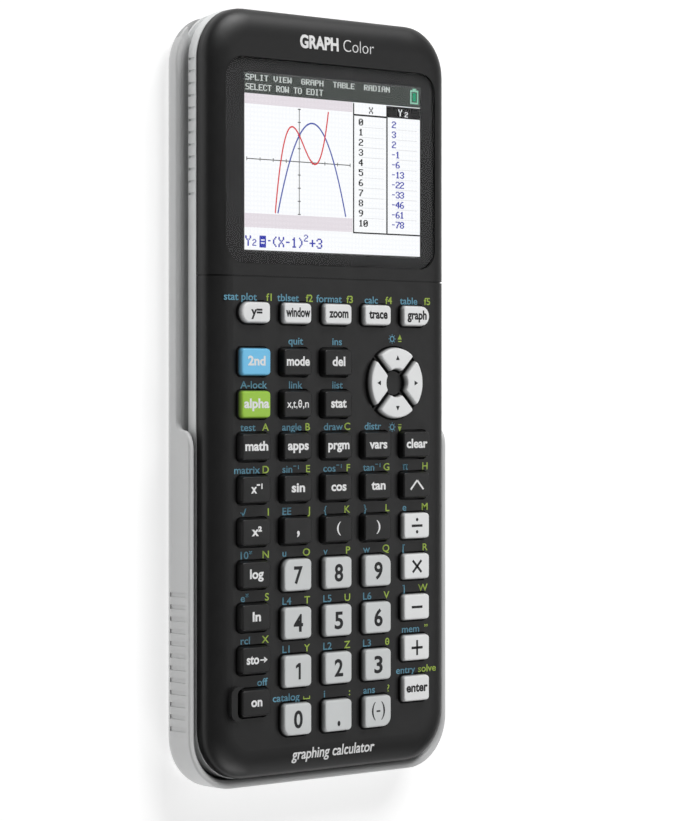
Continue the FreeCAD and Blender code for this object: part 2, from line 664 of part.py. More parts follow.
def key_membrane():
    """Silicone sheet with one hollow dome under each key."""
    base = BOARD_Z + BOARD_THICKNESS
    shell_base = base + SHEET_THICKNESS
    sheet = rounded_plate(-SHEET_HALF_WIDTH, SHEET_HALF_WIDTH, SHEET_Y[0], SHEET_Y[1],
                          base, shell_base, SHEET_CORNER)
    dome_top = FLANGE_Z - FLANGE_GAP
    low_radius, high_radius = DOME_RADII
    domes = []
    chambers = []
    for x, y in key_points():
        domes.append(Part.makeCone(low_radius, high_radius, dome_top - shell_base,
                                   Vector(x, y, shell_base), Z_AXIS))
        chambers.append(Part.makeCone(low_radius - DOME_WALL, high_radius - DOME_WALL,
                                      dome_top - DOME_ROOF - base, Vector(x, y, base), Z_AXIS))
    return join([sheet] + domes).cut(chambers)


def main_board():
    """Circuit board with its chips, sockets, switch and light, as separate solids."""
    low = BOARD_Z
    high = BOARD_Z + BOARD_THICKNESS
    board = join([
        rounded_plate(-BOARD_HALF_WIDTH, BOARD_HALF_WIDTH, BOARD_Y[0], BOARD_Y[1], low, high, BOARD_CORNER),
        box(*BOARD_ARM, low, high),
        box(*BOARD_BAR, low, high),
        box(*BOARD_TONGUE, low, high),
    ])
    clearance = [post(point, REAR_BOSS_RADIUS + 0.4, low - 1, high + 1) for point in SCREW_POINTS]
    board = board.cut(clearance)
    chips = [box(x_low, x_high, y_low, y_high, low - height, low)
             for x_low, x_high, y_low, y_high, height in CHIPS]
    light = Part.makeCylinder(LED_RADIUS, LED_LENGTH, Vector(LED_X, TOP_Y - LED_SETBACK - LED_LENGTH, LED_Z),
                              Y_AXIS)
    battery_socket = box(*BATTERY_SOCKET, BATTERY_SOCKET_Z, low)
    solids = [board] + chips + passives() + [reset_switch(), battery_socket, usb_socket(), light]
    return Part.makeCompound(solids)


def passives():
    """Row of small surface-mount components under the board."""
    width, length, height = PASSIVE_SIZE
    row = []
    for index in range(PASSIVES):
        x = PASSIVE_FIRST_X + index * PASSIVE_PITCH
        row.append(box(x, x + width, PASSIVE_Y, PASSIVE_Y + length, BOARD_Z - height, BOARD_Z))
    return row


def reset_switch():
    """Square switch under the board whose pin stands behind the hole in the back."""
    x, y = RESET_POINT
    body = box(x - RESET_HALF_WIDTH, x + RESET_HALF_WIDTH, y - RESET_HALF_WIDTH, y + RESET_HALF_WIDTH,
               RESET_SWITCH_Z, BOARD_Z)
    pin = post(RESET_POINT, RESET_PIN_RADIUS, RESET_PIN_Z, RESET_SWITCH_Z + 0.1)
    return join([body, pin])


def usb_socket():
    """Charging and data socket: metal shell, open at the display end, with its tongue."""
    width, depth, height = USB_SIZE
    front = TOP_Y - USB_SETBACK
    back = front - depth
    shell = box(USB_X - width / 2, USB_X + width / 2, back, front, BOARD_Z - height, BOARD_Z)
    mouth = box(USB_X - width / 2 + USB_WALL, USB_X + width / 2 - USB_WALL, back + USB_BACK_WALL, front + 1,
                BOARD_Z - height + USB_WALL, BOARD_Z - USB_WALL)
    tongue = box(USB_X - USB_TONGUE_HALF_WIDTH, USB_X + USB_TONGUE_HALF_WIDTH,
                 back + USB_BACK_WALL - 0.1, front - USB_SETBACK - USB_WALL,
                 BOARD_Z - USB_TONGUE_DROP[0], BOARD_Z - USB_TONGUE_DROP[1])
    return join([shell.cut(mouth), tongue])


# ---- fasteners ----------------------------------------------------------------------

def screw(point, head_z, tip_z):
    """Pan-head cross-recess screw, driven in from the back."""
    head_top = head_z + SCREW_HEAD_HEIGHT
    head = post(point, SCREW_HEAD_RADIUS, head_z, head_top)
    shank = post(point, SCREW_RADIUS, head_top, tip_z)
    body = join([head, shank])
    length, width, depth = SCREW_SLOT
    slots = []
    for half_x, half_y in ((length / 2, width / 2), (width / 2, length / 2)):
        slots.append(box(point[0] - half_x, point[0] + half_x, point[1] - half_y, point[1] + half_y,
                         head_z - 1, head_z + depth))
    return body.cut(slots)


def screws():
    """Six housing screws and the shorter one in the battery door, as separate solids."""
    solids = [screw(point, HEAD_SEAT_Z - SCREW_HEAD_HEIGHT, SCREW_TIP_Z) for point in SCREW_POINTS]
    solids.append(screw(DOOR_SCREW, DOOR_HEAD_SEAT_Z - SCREW_HEAD_HEIGHT, DOOR_SCREW_TIP_Z))
    return Part.makeCompound(solids)


# ---- slide case ---------------------------------------------------------------------

def case_side_cut():
    """Everything above the case's rim: low beside the display, stepping up beside the keys."""
    step_y = STEP_START_Y - STEP_CONCAVE
    step_z = CASE_LOW_Z + STEP_CONCAVE
    high_y = step_y - STEP_CONVEX_LENGTH
    diagonal = STEP_CONCAVE * math.sqrt(0.5)
    centre = Vector(0, STEP_START_Y, step_z)
    concave_mid = Vector(0, STEP_START_Y - diagonal, step_z - diagonal)
    concave = Part.Arc(Vector(0, STEP_START_Y, CASE_LOW_Z), concave_mid, Vector(0, step_y, step_z))
    convex_centre = Vector(0, high_y, step_z)
    rise = CASE_HIGH_Z - step_z
    ellipse = Part.Ellipse(convex_centre + Vector(0, STEP_CONVEX_LENGTH, 0),
                           convex_centre + Vector(0, 0, rise), convex_centre)
    convex = Part.Edge(ellipse, 0, math.pi / 2)
    high = CASE_HIGH_Z + OVERCUT
    top = CASE_TOP_Y + OVERCUT
    outline = [
        Vector(0, high_y, CASE_HIGH_Z),
        Vector(0, high_y, high),
        Vector(0, top, high),
        Vector(0, top, CASE_LOW_Z),
        Vector(0, STEP_START_Y, CASE_LOW_Z),
    ]
    edges = [Part.LineSegment(start, end).toShape() for start, end in zip(outline, outline[1:])]
    wire = Part.Wire(Part.__sortEdges__(edges + [concave.toShape(), convex]))
    reach = CASE_HALF_WIDTH + OVERCUT
    face = Part.Face(wire)
    face.translate(Vector(-reach, 0, 0))
    return face.extrude(Vector(2 * reach, 0, 0))


def case_cavity(high):
    """Room for the calculator inside the case's walls, up to the given place along Y."""
    half = CASE_HALF_WIDTH - CASE_WALL
    return rounded_plate(-half, half, BOTTOM_Y + CASE_WALL, high, CASE_FLOOR, CASE_HIGH_Z + OVERCUT,
                         CASE_CORNER - CASE_WALL)


def case_rails():
    """Two rails on the insides of the case's long walls, each up to the wall's open end."""
    wall = CASE_HALF_WIDTH - CASE_WALL / 2
    solid = rounded_plate(-CASE_HALF_WIDTH, CASE_HALF_WIDTH, BOTTOM_Y, CASE_TOP_Y, *RAIL_Z, CASE_CORNER)
    rails = []
    for side in (-1, 1):
        inner = side * RAIL_HALF_WIDTH
        outer = side * wall
        strip = box(min(inner, outer), max(inner, outer), RAIL_BOTTOM_Y, CASE_TOP_Y, *RAIL_Z)
        rails.append(strip.common(solid))
    return rails


def case_grips():
    """Cutting tools for the finger grips on the outside of the case."""
    tools = []
    for side in (-1, 1):
        inner = side * (CASE_HALF_WIDTH - CASE_GRIP_DEPTH)
        outer = side * (CASE_HALF_WIDTH + 1)
        for index in range(GRIP_SLOTS):
            y = CASE_GRIP_FIRST_Y - index * CASE_GRIP_PITCH
            tools.append(box(min(inner, outer), max(inner, outer), y - CASE_GRIP_WIDTH / 2,
                             y + CASE_GRIP_WIDTH / 2, CASE_GRIP_Z[0], CASE_GRIP_Z[1]))
    return tools


def round_rim(shell, inset, radius):
    """Rolls over the rim's edge on the wall that stands inset from the outside, step included."""
    outline = rounded_wire(-CASE_HALF_WIDTH + inset, CASE_HALF_WIDTH - inset, BOTTOM_Y + inset,
                           CASE_TOP_Y - inset, 0.0, [CASE_CORNER - inset] * 4)
    wall = outline.extrude(Vector(0, 0, CASE_HIGH_Z))
    rim = []
    for edge in shell.Edges:
        middle = edge.valueAt((edge.FirstParameter + edge.LastParameter) / 2)
        on_wall = wall.distToShape(Part.Vertex(middle))[0] < TOUCH
        if on_wall and edge.BoundBox.ZMin > CASE_LOW_Z - 10 * TOUCH:
            rim.append(edge)
    return shell.makeFillet(radius, rim)


def slide_case():
    """Slide-on case: back panel, low upper walls, high lower walls, rails and a closed bottom end."""
    block = rolled_slab(CASE_HALF_WIDTH, BOTTOM_Y, CASE_TOP_Y, CASE_CORNER, 0.0, CASE_HIGH_Z,
                        bottom_roll=(CASE_EDGE, CASE_EDGE))
    shell = round_rim(block.cut(case_side_cut()), 0.0, CASE_RIM_RADIUS)
    shell = shell.cut(case_cavity(CASE_TOP_Y - CASE_WALL))
    shell = round_rim(shell, CASE_WALL, CASE_LIP_RADIUS)
    shell = shell.cut(case_cavity(CASE_TOP_Y + 2 * CASE_CORNER))
    return join([shell] + case_rails()).cut(case_grips())


# ---- output -------------------------------------------------------------------------

def all_nodes():
    """Every node's name and shape."""
    nodes = {
        "front_housing": front_housing(),
        "display_window": display_window(),
        "display_module": display_module(),
        "key_membrane": key_membrane(),
        "main_board": main_board(),
        "rear_shell": rear_shell(),
        "battery_pack": battery_pack(),
        "battery_door": battery_door(),
        "screws": screws(),
        "slide_case": slide_case(),
    }
    for name, x, y, style, radii in key_layout():
        nodes["key_" + name] = key_solid(x, y, style, radii)
    for name, angle in ARROWS:
        nodes["key_arrow_" + name] = place_petal(arrow_key(), angle)
    return nodes


os.makedirs("parts", exist_ok=True)
for node_name, shape in all_nodes().items():
    if not shape.isValid():
        raise ValueError(node_name + " is not a valid shape")
    shape.exportStep("parts/" + node_name + ".step")
    bounds = shape.BoundBox
    print(node_name, len(shape.Solids), round(shape.Volume, 1),
          [round(value, 2) for value in (bounds.XMin, bounds.XMax, bounds.YMin, bounds.YMax,
                                         bounds.ZMin, bounds.ZMax)])
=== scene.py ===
import math

import bpy
from mathutils import Matrix, Vector


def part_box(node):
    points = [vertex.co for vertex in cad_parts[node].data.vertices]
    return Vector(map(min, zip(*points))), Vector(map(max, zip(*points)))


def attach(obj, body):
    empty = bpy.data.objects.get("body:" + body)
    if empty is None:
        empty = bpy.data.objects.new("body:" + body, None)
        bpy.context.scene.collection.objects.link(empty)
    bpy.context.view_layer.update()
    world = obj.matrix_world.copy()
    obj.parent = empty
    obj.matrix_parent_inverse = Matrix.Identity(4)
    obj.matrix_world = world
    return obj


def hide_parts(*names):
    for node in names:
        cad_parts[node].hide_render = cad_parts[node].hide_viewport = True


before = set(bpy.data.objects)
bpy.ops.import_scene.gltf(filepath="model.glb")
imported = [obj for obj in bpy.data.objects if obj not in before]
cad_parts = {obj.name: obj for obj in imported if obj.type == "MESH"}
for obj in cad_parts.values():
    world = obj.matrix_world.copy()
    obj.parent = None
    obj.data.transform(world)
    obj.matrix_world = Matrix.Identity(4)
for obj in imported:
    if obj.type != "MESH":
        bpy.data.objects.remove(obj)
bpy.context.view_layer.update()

# Looks of a graphing calculator lying on its back: +X to the right of the face, +Y towards the
# display end, +Z out of the face. Sizes in this script are in millimetres until a mesh is made.

MM = 0.001


def node_box(node):
    """Lowest and highest corner of a CAD node, in millimetres."""
    low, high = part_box(node)
    return low / MM, high / MM


# ---- levels and places taken from the frame -----------------------------------------

FLANGE_REACH = 0.9                       # a key's flange reaches this far past its cap
FLANGE_THICKNESS = 0.8
FLANGE_DEPTH = 2.5                       # the keys' flanges start this far under the face
FACE_Z = node_box("key_7")[0].z + FLANGE_DEPTH
KEY_TOP_Z = node_box("key_7")[1].z
WINDOW_LOW, WINDOW_HIGH = node_box("display_window")
WINDOW_CORNER = 5.15
MODULE_LOW, MODULE_HIGH = node_box("display_module")
FACE_LOW, FACE_HIGH = node_box("front_housing")
SHOULDER_WIDTH = 7.0                     # the face rolls down to its sides over this width
SHOULDER_HEIGHT = 3.5
SILVER_LOW_Z = 2.6                       # the rear shell is silver down to here, around its groove


# ---- meshes -------------------------------------------------------------------------

class Sketch:
    """Points and faces gathered in millimetres, made into one piece at the end."""

    def __init__(self):
        self.points = []
        self.faces = []

    def add(self, points, faces):
        first = len(self.points)
        self.points += [tuple(point) for point in points]
        self.faces += [[first + index for index in face] for face in faces]

    def prism(self, outline, z_low, z_high):
        """Flat plate with the given outline, which runs anticlockwise."""
        count = len(outline)
        points = [(x, y, z_low) for x, y in outline] + [(x, y, z_high) for x, y in outline]
        faces = [list(range(count))[::-1], list(range(count, 2 * count))]
        for index in range(count):
            following = (index + 1) % count
            faces.append([index, following, count + following, count + index])
        self.add(points, faces)

    def block(self, x_low, x_high, y_low, y_high, z_low, z_high):
        corners = [(x_low, y_low), (x_high, y_low), (x_high, y_high), (x_low, y_high)]
        self.prism(corners, z_low, z_high)

    def frame(self, outer, inner, z_low, z_high):
        """Plate between two outlines that have the same number of points."""
        count = len(outer)
        points = []
        for z in (z_low, z_high):
            points += [(x, y, z) for x, y in outer] + [(x, y, z) for x, y in inner]
        faces = []
        for index in range(count):
            following = (index + 1) % count
            outer_low, outer_next = index, following
            inner_low, inner_next = count + index, count + following
            up = 2 * count
            faces.append([outer_low, inner_low, inner_next, outer_next])
            faces.append([outer_low + up, outer_next + up, inner_next + up, inner_low + up])
            faces.append([outer_low, outer_next, outer_next + up, outer_low + up])
            faces.append([inner_low, inner_low + up, inner_next + up, inner_next])
        self.add(points, faces)

    def rings(self, rings):
        """Closed solid through rings of equal length, from the lowest to the highest."""
        count = len(rings[0])
        points = [point for ring in rings for point in ring]
        faces = [list(range(count))[::-1]]
        for level in range(len(rings) - 1):
            start = level * count
            for index in range(count):
                following = (index + 1) % count
                faces.append([start + index, start + following,
                              start + count + following, start + count + index])
        faces.append(list(range((len(rings) - 1) * count, len(rings) * count)))
        self.add(points, faces)

    def ribbon(self, line, width, z_low, z_high):
        """Flat band of constant width along an open line."""
        left = []
        right = []
        for index, (x, y) in enumerate(line):
            before = line[max(index - 1, 0)]
            after = line[min(index + 1, len(line) - 1)]
            run = math.hypot(after[0] - before[0], after[1] - before[1])
            across_x = -(after[1] - before[1]) / run * width / 2
            across_y = (after[0] - before[0]) / run * width / 2
            left.append((x + across_x, y + across_y))
            right.append((x - across_x, y - across_y))
        for index in range(len(line) - 1):
            corners = [right[index], right[index + 1], left[index + 1], left[index]]
            self.prism(corners, z_low, z_high)

    def piece(self, name, material, body, slot=None, sharp=math.radians(38)):
        """Makes the object, shades it smooth up to the sharp angle and lets it ride on a body."""
        mesh = bpy.data.meshes.new(name)
        mesh.from_pydata([(x * MM, y * MM, z * MM) for x, y, z in self.points], [], self.faces)
        mesh.validate()
        mesh.materials.append(material)
        mesh.shade_smooth()
        mesh.set_sharp_from_angle(angle=sharp)
        made = bpy.data.objects.new(name, mesh)
        bpy.context.scene.collection.objects.link(made)
        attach(made, body)
        return made


def rounded_outline(x_low, x_high, y_low, y_high, radii, steps=6):
    """Anticlockwise rectangle; the radii run clockwise from its top left corner."""
    top_left, top_right, low_right, low_left = radii
    corners = [(x_high - top_right, y_high - top_right, top_right, 0),
               (x_low + top_left, y_high - top_left, top_left, 90),
               (x_low + low_left, y_low + low_left, low_left, 180),
               (x_high - low_right, y_low + low_right, low_right, 270)]
    outline = []
    for centre_x, centre_y, radius, start in corners:
        for step in range(steps + 1):
            angle = math.radians(start + 90 * step / steps)
            outline.append((centre_x + radius * math.cos(angle),
                            centre_y + radius * math.sin(angle)))
    return outline


def disc_outline(x, y, radius, steps=20):
    return [(x + radius * math.cos(2 * math.pi * step / steps),
             y + radius * math.sin(2 * math.pi * step / steps)) for step in range(steps)]


# ---- lettering ----------------------------------------------------------------------

FONT_CAP_HEIGHT = 0.682      # cap height of the built-in font at size 1
LEGEND_STRETCH = 1.22
INK_DEPTH = 0.02
TITLE_DEPTH = 0.24          # deeper, because the titles are draped over the face's rolled ends


def lettering(sketch, text, x, y, height, z, width=None, stretch=1.0, anchor="centre", bold=0.02,
              depth=INK_DEPTH):
    """Adds printed text whose capitals are height tall; y is its baseline, z the top of the ink."""
    curve = bpy.data.curves.new("lettering", "FONT")
    curve.body = text
    curve.offset = bold
    curve.resolution_u = 4
    curve.extrude = 0.5
    holder = bpy.data.objects.new("lettering", curve)
    bpy.context.scene.collection.objects.link(holder)
    bpy.context.view_layer.update()
    mesh = bpy.data.meshes.new_from_object(holder)
    left = min(vertex.co.x for vertex in mesh.vertices)
    right = max(vertex.co.x for vertex in mesh.vertices)
    size = height / FONT_CAP_HEIGHT
    across = size * stretch
    if width:
        across = width / (right - left)
    shift = {"left": left, "centre": (left + right) / 2, "right": right}[anchor]
    points = [(x + (vertex.co.x - shift) * across, y + vertex.co.y * size,
               z + (vertex.co.z - 0.5) * depth) for vertex in mesh.vertices]
    sketch.add(points, [list(polygon.vertices) for polygon in mesh.polygons])
    bpy.data.objects.remove(holder)
    bpy.data.curves.remove(curve)
    bpy.data.meshes.remove(mesh)
    return x + (left - shift) * across, x + (right - shift) * across


# ---- materials ----------------------------------------------------------------------

def new_material(name):
    """Empty node material with its shader and output."""
    material = bpy.data.materials.new(name)
    material.use_nodes = True
    nodes = material.node_tree.nodes
    nodes.clear()
    shader = nodes.new("ShaderNodeBsdfPrincipled")
    output = nodes.new("ShaderNodeOutputMaterial")
    material.node_tree.links.new(shader.outputs["BSDF"], output.inputs["Surface"])
    return material, shader


def object_space(material):
    """Place on the object's own axes, in metres."""
    return material.node_tree.nodes.new("ShaderNodeTexCoord").outputs["Object"]


def add_noise(material, size, detail=2.0):
    """Noise over the object's own space whose features are size millimetres across."""
    noise = material.node_tree.nodes.new("ShaderNodeTexNoise")
    noise.inputs["Scale"].default_value = 1 / (size * MM)
    noise.inputs["Detail"].default_value = detail
    noise.inputs["Roughness"].default_value = 0.5
    material.node_tree.links.new(object_space(material), noise.inputs["Vector"])
    return noise.outputs["Fac"]


def add_math(material, operation, first, second):
    """Result of a sum on two numbers or sockets."""
    node = material.node_tree.nodes.new("ShaderNodeMath")
    node.operation = operation
    for value, socket in zip((first, second), node.inputs):
        if isinstance(value, bpy.types.NodeSocket):
            material.node_tree.links.new(value, socket)
        else:
            socket.default_value = value
    return node.outputs["Value"]


def add_range(material, source, low, high):
    """Maps a 0 to 1 value to the range from low to high."""
    spread = material.node_tree.nodes.new("ShaderNodeMapRange")
    spread.inputs["To Min"].default_value = low
    spread.inputs["To Max"].default_value = high
    material.node_tree.links.new(source, spread.inputs["Value"])
    return spread.outputs["Result"]


def add_mix(material, factor, first, second):
    """Colour between two colours or sockets."""
    mix = material.node_tree.nodes.new("ShaderNodeMix")
    mix.data_type = "RGBA"
    links = material.node_tree.links
    links.new(factor, mix.inputs["Factor"])
    for value, socket in ((first, mix.inputs["A"]), (second, mix.inputs["B"])):
        if isinstance(value, bpy.types.NodeSocket):
            links.new(value, socket)
        else:
            socket.default_value = (*value, 1.0)
    return mix.outputs["Result"]


def shades(colour, spread):
    """The colour a little darker and a little lighter."""
    return [c * (1 - spread) for c in colour], [min(c * (1 + spread), 1.0) for c in colour]


def add_grain(material, shader, size, depth):
    """Fine moulded texture as bump."""
    bump = material.node_tree.nodes.new("ShaderNodeBump")
    bump.inputs["Distance"].default_value = depth * MM
    bump.inputs["Strength"].default_value = 1.0
    links = material.node_tree.links
    links.new(add_noise(material, size), bump.inputs["Height"])
    links.new(bump.outputs["Normal"], shader.inputs["Normal"])


def plastic(name, colour, roughness, spread=0.06, patch=9.0, grain=0.25, depth=0.004,
            specular=0.5):
    """Moulded plastic: slight colour and gloss variation and a fine grain."""
    material, shader = new_material(name)
    links = material.node_tree.links
    dark, light = shades(colour, spread)
    tone = add_mix(material, add_noise(material, patch), dark, light)
    links.new(tone, shader.inputs["Base Color"])
    gloss = add_noise(material, patch / 3)
    rough = add_range(material, gloss, roughness * 0.88, roughness * 1.12)
    links.new(rough, shader.inputs["Roughness"])
    shader.inputs["Specular IOR Level"].default_value = specular
    if depth:
        add_grain(material, shader, grain, depth)
    return material


def ink(name, colour):
    """Screen-printed paint."""
    return plastic(name, colour, 0.55, spread=0.05, patch=1.5, depth=0.0)


def lit(name, colour, strength=1.0):
    """Lit part of the display picture, with the faint dot grid of its panel."""
    material, shader = new_material(name)
    links = material.node_tree.links
    place = object_space(material)
    grid = []
    for direction in ("X", "Y"):
        wave = material.node_tree.nodes.new("ShaderNodeTexWave")
        wave.bands_direction = direction
        wave.inputs["Scale"].default_value = WAVE_SCALE / (DOT * MM)
        links.new(place, wave.inputs["Vector"])
        grid.append(wave.outputs["Fac"])
    both = add_math(material, "MULTIPLY", *grid)
    tone = add_mix(material, both, [c * DOT_SHADE for c in colour], colour)
    links.new(tone, shader.inputs["Emission Color"])
    shader.inputs["Emission Strength"].default_value = strength
    shader.inputs["Base Color"].default_value = (0.004, 0.004, 0.004, 1.0)
    shader.inputs["Roughness"].default_value = 0.6
    shader.inputs["Specular IOR Level"].default_value = 0.0
    return material


PATCH_SIZE = 7.0
SPLIT_GRAIN = 0.22


def split_by_height(name, level, low_finish, high_finish, feather=0.05, grain=0.003):
    """One part in two finishes, (colour, roughness, metallic) below and above a level; on the light
    key caps the lower one is painted shade.
    """
    material, shader = new_material(name)
    nodes = material.node_tree.nodes
    links = material.node_tree.links
    parts = nodes.new("ShaderNodeSeparateXYZ")
    links.new(object_space(material), parts.inputs["Vector"])
    height = nodes.new("ShaderNodeMapRange")
    height.inputs["From Min"].default_value = (level - feather) * MM
    height.inputs["From Max"].default_value = (level + feather) * MM
    links.new(parts.outputs["Z"], height.inputs["Value"])
    mask = height.outputs["Result"]
    patches = add_noise(material, PATCH_SIZE)
    colours = [add_mix(material, patches, *shades(finish[0], 0.05))
               for finish in (low_finish, high_finish)]
    links.new(add_mix(material, mask, *colours), shader.inputs["Base Color"])
    for index, socket in ((1, "Roughness"), (2, "Metallic")):
        values = add_range(material, mask, low_finish[index], high_finish[index])
        links.new(values, shader.inputs[socket])
    add_grain(material, shader, SPLIT_GRAIN, grain)
    return material


def key_plastic(name, colour, roughness):
    """Key cap plastic: its colour at the top, fading down the walls into painted shade near the
    face.
    """
    # the lower part of the cap walls is darkened with painted shade, not a moulded skirt
    return split_by_height(name, WALL_SHADE_Z, (KEY_WALL_SHADE, 0.5, 0.0), (colour, roughness, 0.0),
                           WALL_SHADE_FADE, grain=0.0015)


def metal(name, colour, roughness, size=0.4):
    """Bare metal with fine streaky wear."""
    material, shader = new_material(name)
    noise = add_noise(material, size, 4.0)
    links = material.node_tree.links
    links.new(add_mix(material, noise, *shades(colour, 0.12)), shader.inputs["Base Color"])
    links.new(add_range(material, noise, roughness * 0.7, roughness * 1.3),
              shader.inputs["Roughness"])
    shader.inputs["Metallic"].default_value = 1.0
    return material


def clear_window():
    """Clear cover with a low-glare coating, faintly uneven in tint."""
    material, shader = new_material("clear_window")
    smudge = add_noise(material, 14.0, 3.0)
    tint = add_mix(material, smudge, (0.97, 0.98, 0.98), (0.99, 0.995, 0.995))
    material.node_tree.links.new(tint, shader.inputs["Base Color"])
    shader.inputs["Roughness"].default_value = 0.0
    shader.inputs["Transmission Weight"].default_value = 1.0
    shader.inputs["IOR"].default_value = 1.16
    return material


TRACK_SPACING = 2.4
TRACK_SHARE = 0.07
CHIPS_BELOW_Z = 7.48        # just under the board
SOCKET_BEYOND_Y = 84.2


def circuit_board():
    """Green board with lighter tracks above, dark chips and bright socket metal below it."""
    material, shader = new_material("circuit_board")
    nodes = material.node_tree.nodes
    links = material.node_tree.links
    place = object_space(material)
    tracks = nodes.new("ShaderNodeTexVoronoi")
    tracks.feature = "DISTANCE_TO_EDGE"
    tracks.inputs["Scale"].default_value = 1 / (TRACK_SPACING * MM)
    links.new(place, tracks.inputs["Vector"])
    parts = nodes.new("ShaderNodeSeparateXYZ")
    links.new(place, parts.inputs["Vector"])
    on_track = add_math(material, "LESS_THAN", tracks.outputs["Distance"], TRACK_SHARE)
    below = add_math(material, "LESS_THAN", parts.outputs["Z"], CHIPS_BELOW_Z * MM)
    beyond = add_math(material, "GREATER_THAN", parts.outputs["Y"], SOCKET_BEYOND_Y * MM)
    at_socket = add_math(material, "MULTIPLY", below, beyond)
    board = add_mix(material, on_track, (0.012, 0.075, 0.03), (0.04, 0.16, 0.06))
    with_chips = add_mix(material, below, board, (0.012, 0.012, 0.014))
    with_socket = add_mix(material, at_socket, with_chips, (0.55, 0.55, 0.56))
    links.new(with_socket, shader.inputs["Base Color"])
    links.new(at_socket, shader.inputs["Metallic"])
    shader.inputs["Roughness"].default_value = 0.42
    return material


# ---- display picture ----------------------------------------------------------------

DOT_COLUMNS = 320
DOT_ROWS = 240
PICTURE_WIDTH = 58.0
DOT = PICTURE_WIDTH / DOT_COLUMNS
DOT_SHADE = 0.93
WAVE_SCALE = 0.05            # gives a wave texture one band per dot
MODULE_CENTRE_X = (MODULE_LOW.x + MODULE_HIGH.x) / 2
PICTURE_LEFT = MODULE_CENTRE_X - PICTURE_WIDTH / 2
GLASS_HEIGHT = 47.0
PICTURE_TOP = MODULE_HIGH.y - (GLASS_HEIGHT - DOT_ROWS * DOT) / 2
PICTURE_Z = MODULE_HIGH.z + 0.005
LAYER = 0.012

STATUS_TOP = 4              # the rows above this one stay dark under the border
STATUS_ROWS = 31
BATTERY_OUTLINE = [((301.5, 317), (7, 9.5)), ((301.5, 317), (24, 26.4)), ((301.5, 304), (9.5, 24)),
                   ((314.5, 317), (9.5, 24)), ((306, 312.5), (4.6, 7))]
GRAPH_COLUMNS = 193
GRAPH_ROWS = (31, 210)
BAND_ROWS = ((31, 45), (191, 210))
GRAPH_ORIGIN = (96.3, 118.4)
GRAPH_UNIT = (23.1, 17.8)
GRAPH_LIMIT = 4.0
AXIS_WIDTH = 1.2
TICK = 2.6
CURVE_WIDTH = 2.2
CUBIC_SPAN = (-1.845, 2.268)            # where the red curve stays inside the graph
TABLE_LEFT = 194
TABLE_SPLIT = 256
TABLE_HEADER = (32, 48)
TABLE_FIRST_ROW = 57.5
TABLE_PITCH = 13.95
TABLE_END = 211.5
TABLE_VALUES = [2, 3, 2, -1, -6, -13, -22, -33, -46, -61, -78]

GLYPHS = {
    "A": ".###. #...# #...# ##### #...# #...# #...#",
    "B": "####. #...# #...# ####. #...# #...# ####.",
    "C": ".###. #...# #.... #.... #.... #...# .###.",
    "D": "####. #...# #...# #...# #...# #...# ####.",
    "E": "##### #.... #.... ####. #.... #.... #####",
    "G": ".###. #...# #.... #.### #...# #...# .###.",
    "H": "#...# #...# #...# ##### #...# #...# #...#",
    "I": ".###. ..#.. ..#.. ..#.. ..#.. ..#.. .###.",
    "L": "#.... #.... #.... #.... #.... #.... #####",
    "N": "#...# ##..# #.#.# #.#.# #..## #...# #...#",
    "O": ".###. #...# #...# #...# #...# #...# .###.",
    "P": "####. #...# #...# ####. #.... #.... #....",
    "R": "####. #...# #...# ####. #.#.. #..#. #...#",
    "S": ".#### #.... #.... .###. ....# ....# ####.",
    "T": "##### ..#.. ..#.. ..#.. ..#.. ..#.. ..#..",
    "V": "#...# #...# #...# #...# #...# .#.#. ..#..",
    "W": "#...# #...# #...# #.#.# #.#.# ##.## #...#",
    "X": "#...# #...# .#.#. ..#.. .#.#. #...# #...#",
    "Y": "#...# #...# .#.#. ..#.. ..#.. ..#.. ..#..",
    "0": ".###. #...# #..## #.#.# ##..# #...# .###.",
    "1": "..#.. .##.. ..#.. ..#.. ..#.. ..#.. .###.",
    "2": ".###. #...# ....# ..##. .#... #.... #####",
    "3": ".###. #...# ....# ..##. ....# #...# .###.",
    "4": "...#. ..##. .#.#. #..#. ##### ...#. ...#.",
    "5": "##### #.... ####. ....# ....# #...# .###.",
    "6": "..##. .#... #.... ####. #...# #...# .###.",
    "7": "##### ....# ...#. ..#.. ..#.. .#... .#...",
    "8": ".###. #...# #...# .###. #...# #...# .###.",
    "9": ".###. #...# #...# .#### ....# ...#. .##..",
    "-": "..... ..... ..... .###. ..... ..... .....",
    "+": "..... ..#.. ..#.. ##### ..#.. ..#.. .....",
    "=": "..... ..... ##### ..... ##### ..... .....",
    "(": "...#. ..#.. .#... .#... .#... ..#.. ...#.",
    ")": ".#... ..#.. ...#. ...#. ...#. ..#.. .#...",
}


def on_picture(column, row):
    """Plan point of a display dot; columns run right and rows run down."""
    return PICTURE_LEFT + column * DOT, PICTURE_TOP - row * DOT


def dots(sketch, columns, rows, layer):
    """Filled rectangle of dots on a layer of the picture."""
    x_low, y_high = on_picture(columns[0], rows[0])
    x_high, y_low = on_picture(columns[1], rows[1])
    z = PICTURE_Z + layer * LAYER
    sketch.block(x_low, x_high, y_low, y_high, z, z + LAYER * 0.8)


def pixel_text(sketch, text, column, row, size, layer, pitch=6.0, bold=0.35):
    """Text in a five by seven dot face; size is (width, height) of one of its dots."""
    for place, letter in enumerate(text):
        if letter == " ":
            continue
        for line, pattern in enumerate(GLYPHS[letter].split()):
            start = None
            for index, mark in enumerate(pattern + "."):
                if mark == "#" and start is None:
                    start = index
                if mark != "#" and start is not None:
                    left = column + (place * pitch + start) * size[0]
                    right = column + (place * pitch + index) * size[0]
                    top = row + line * size[1]
                    dots(sketch, (left - bold, right + bold), (top, top + size[1]), layer)
                    start = None


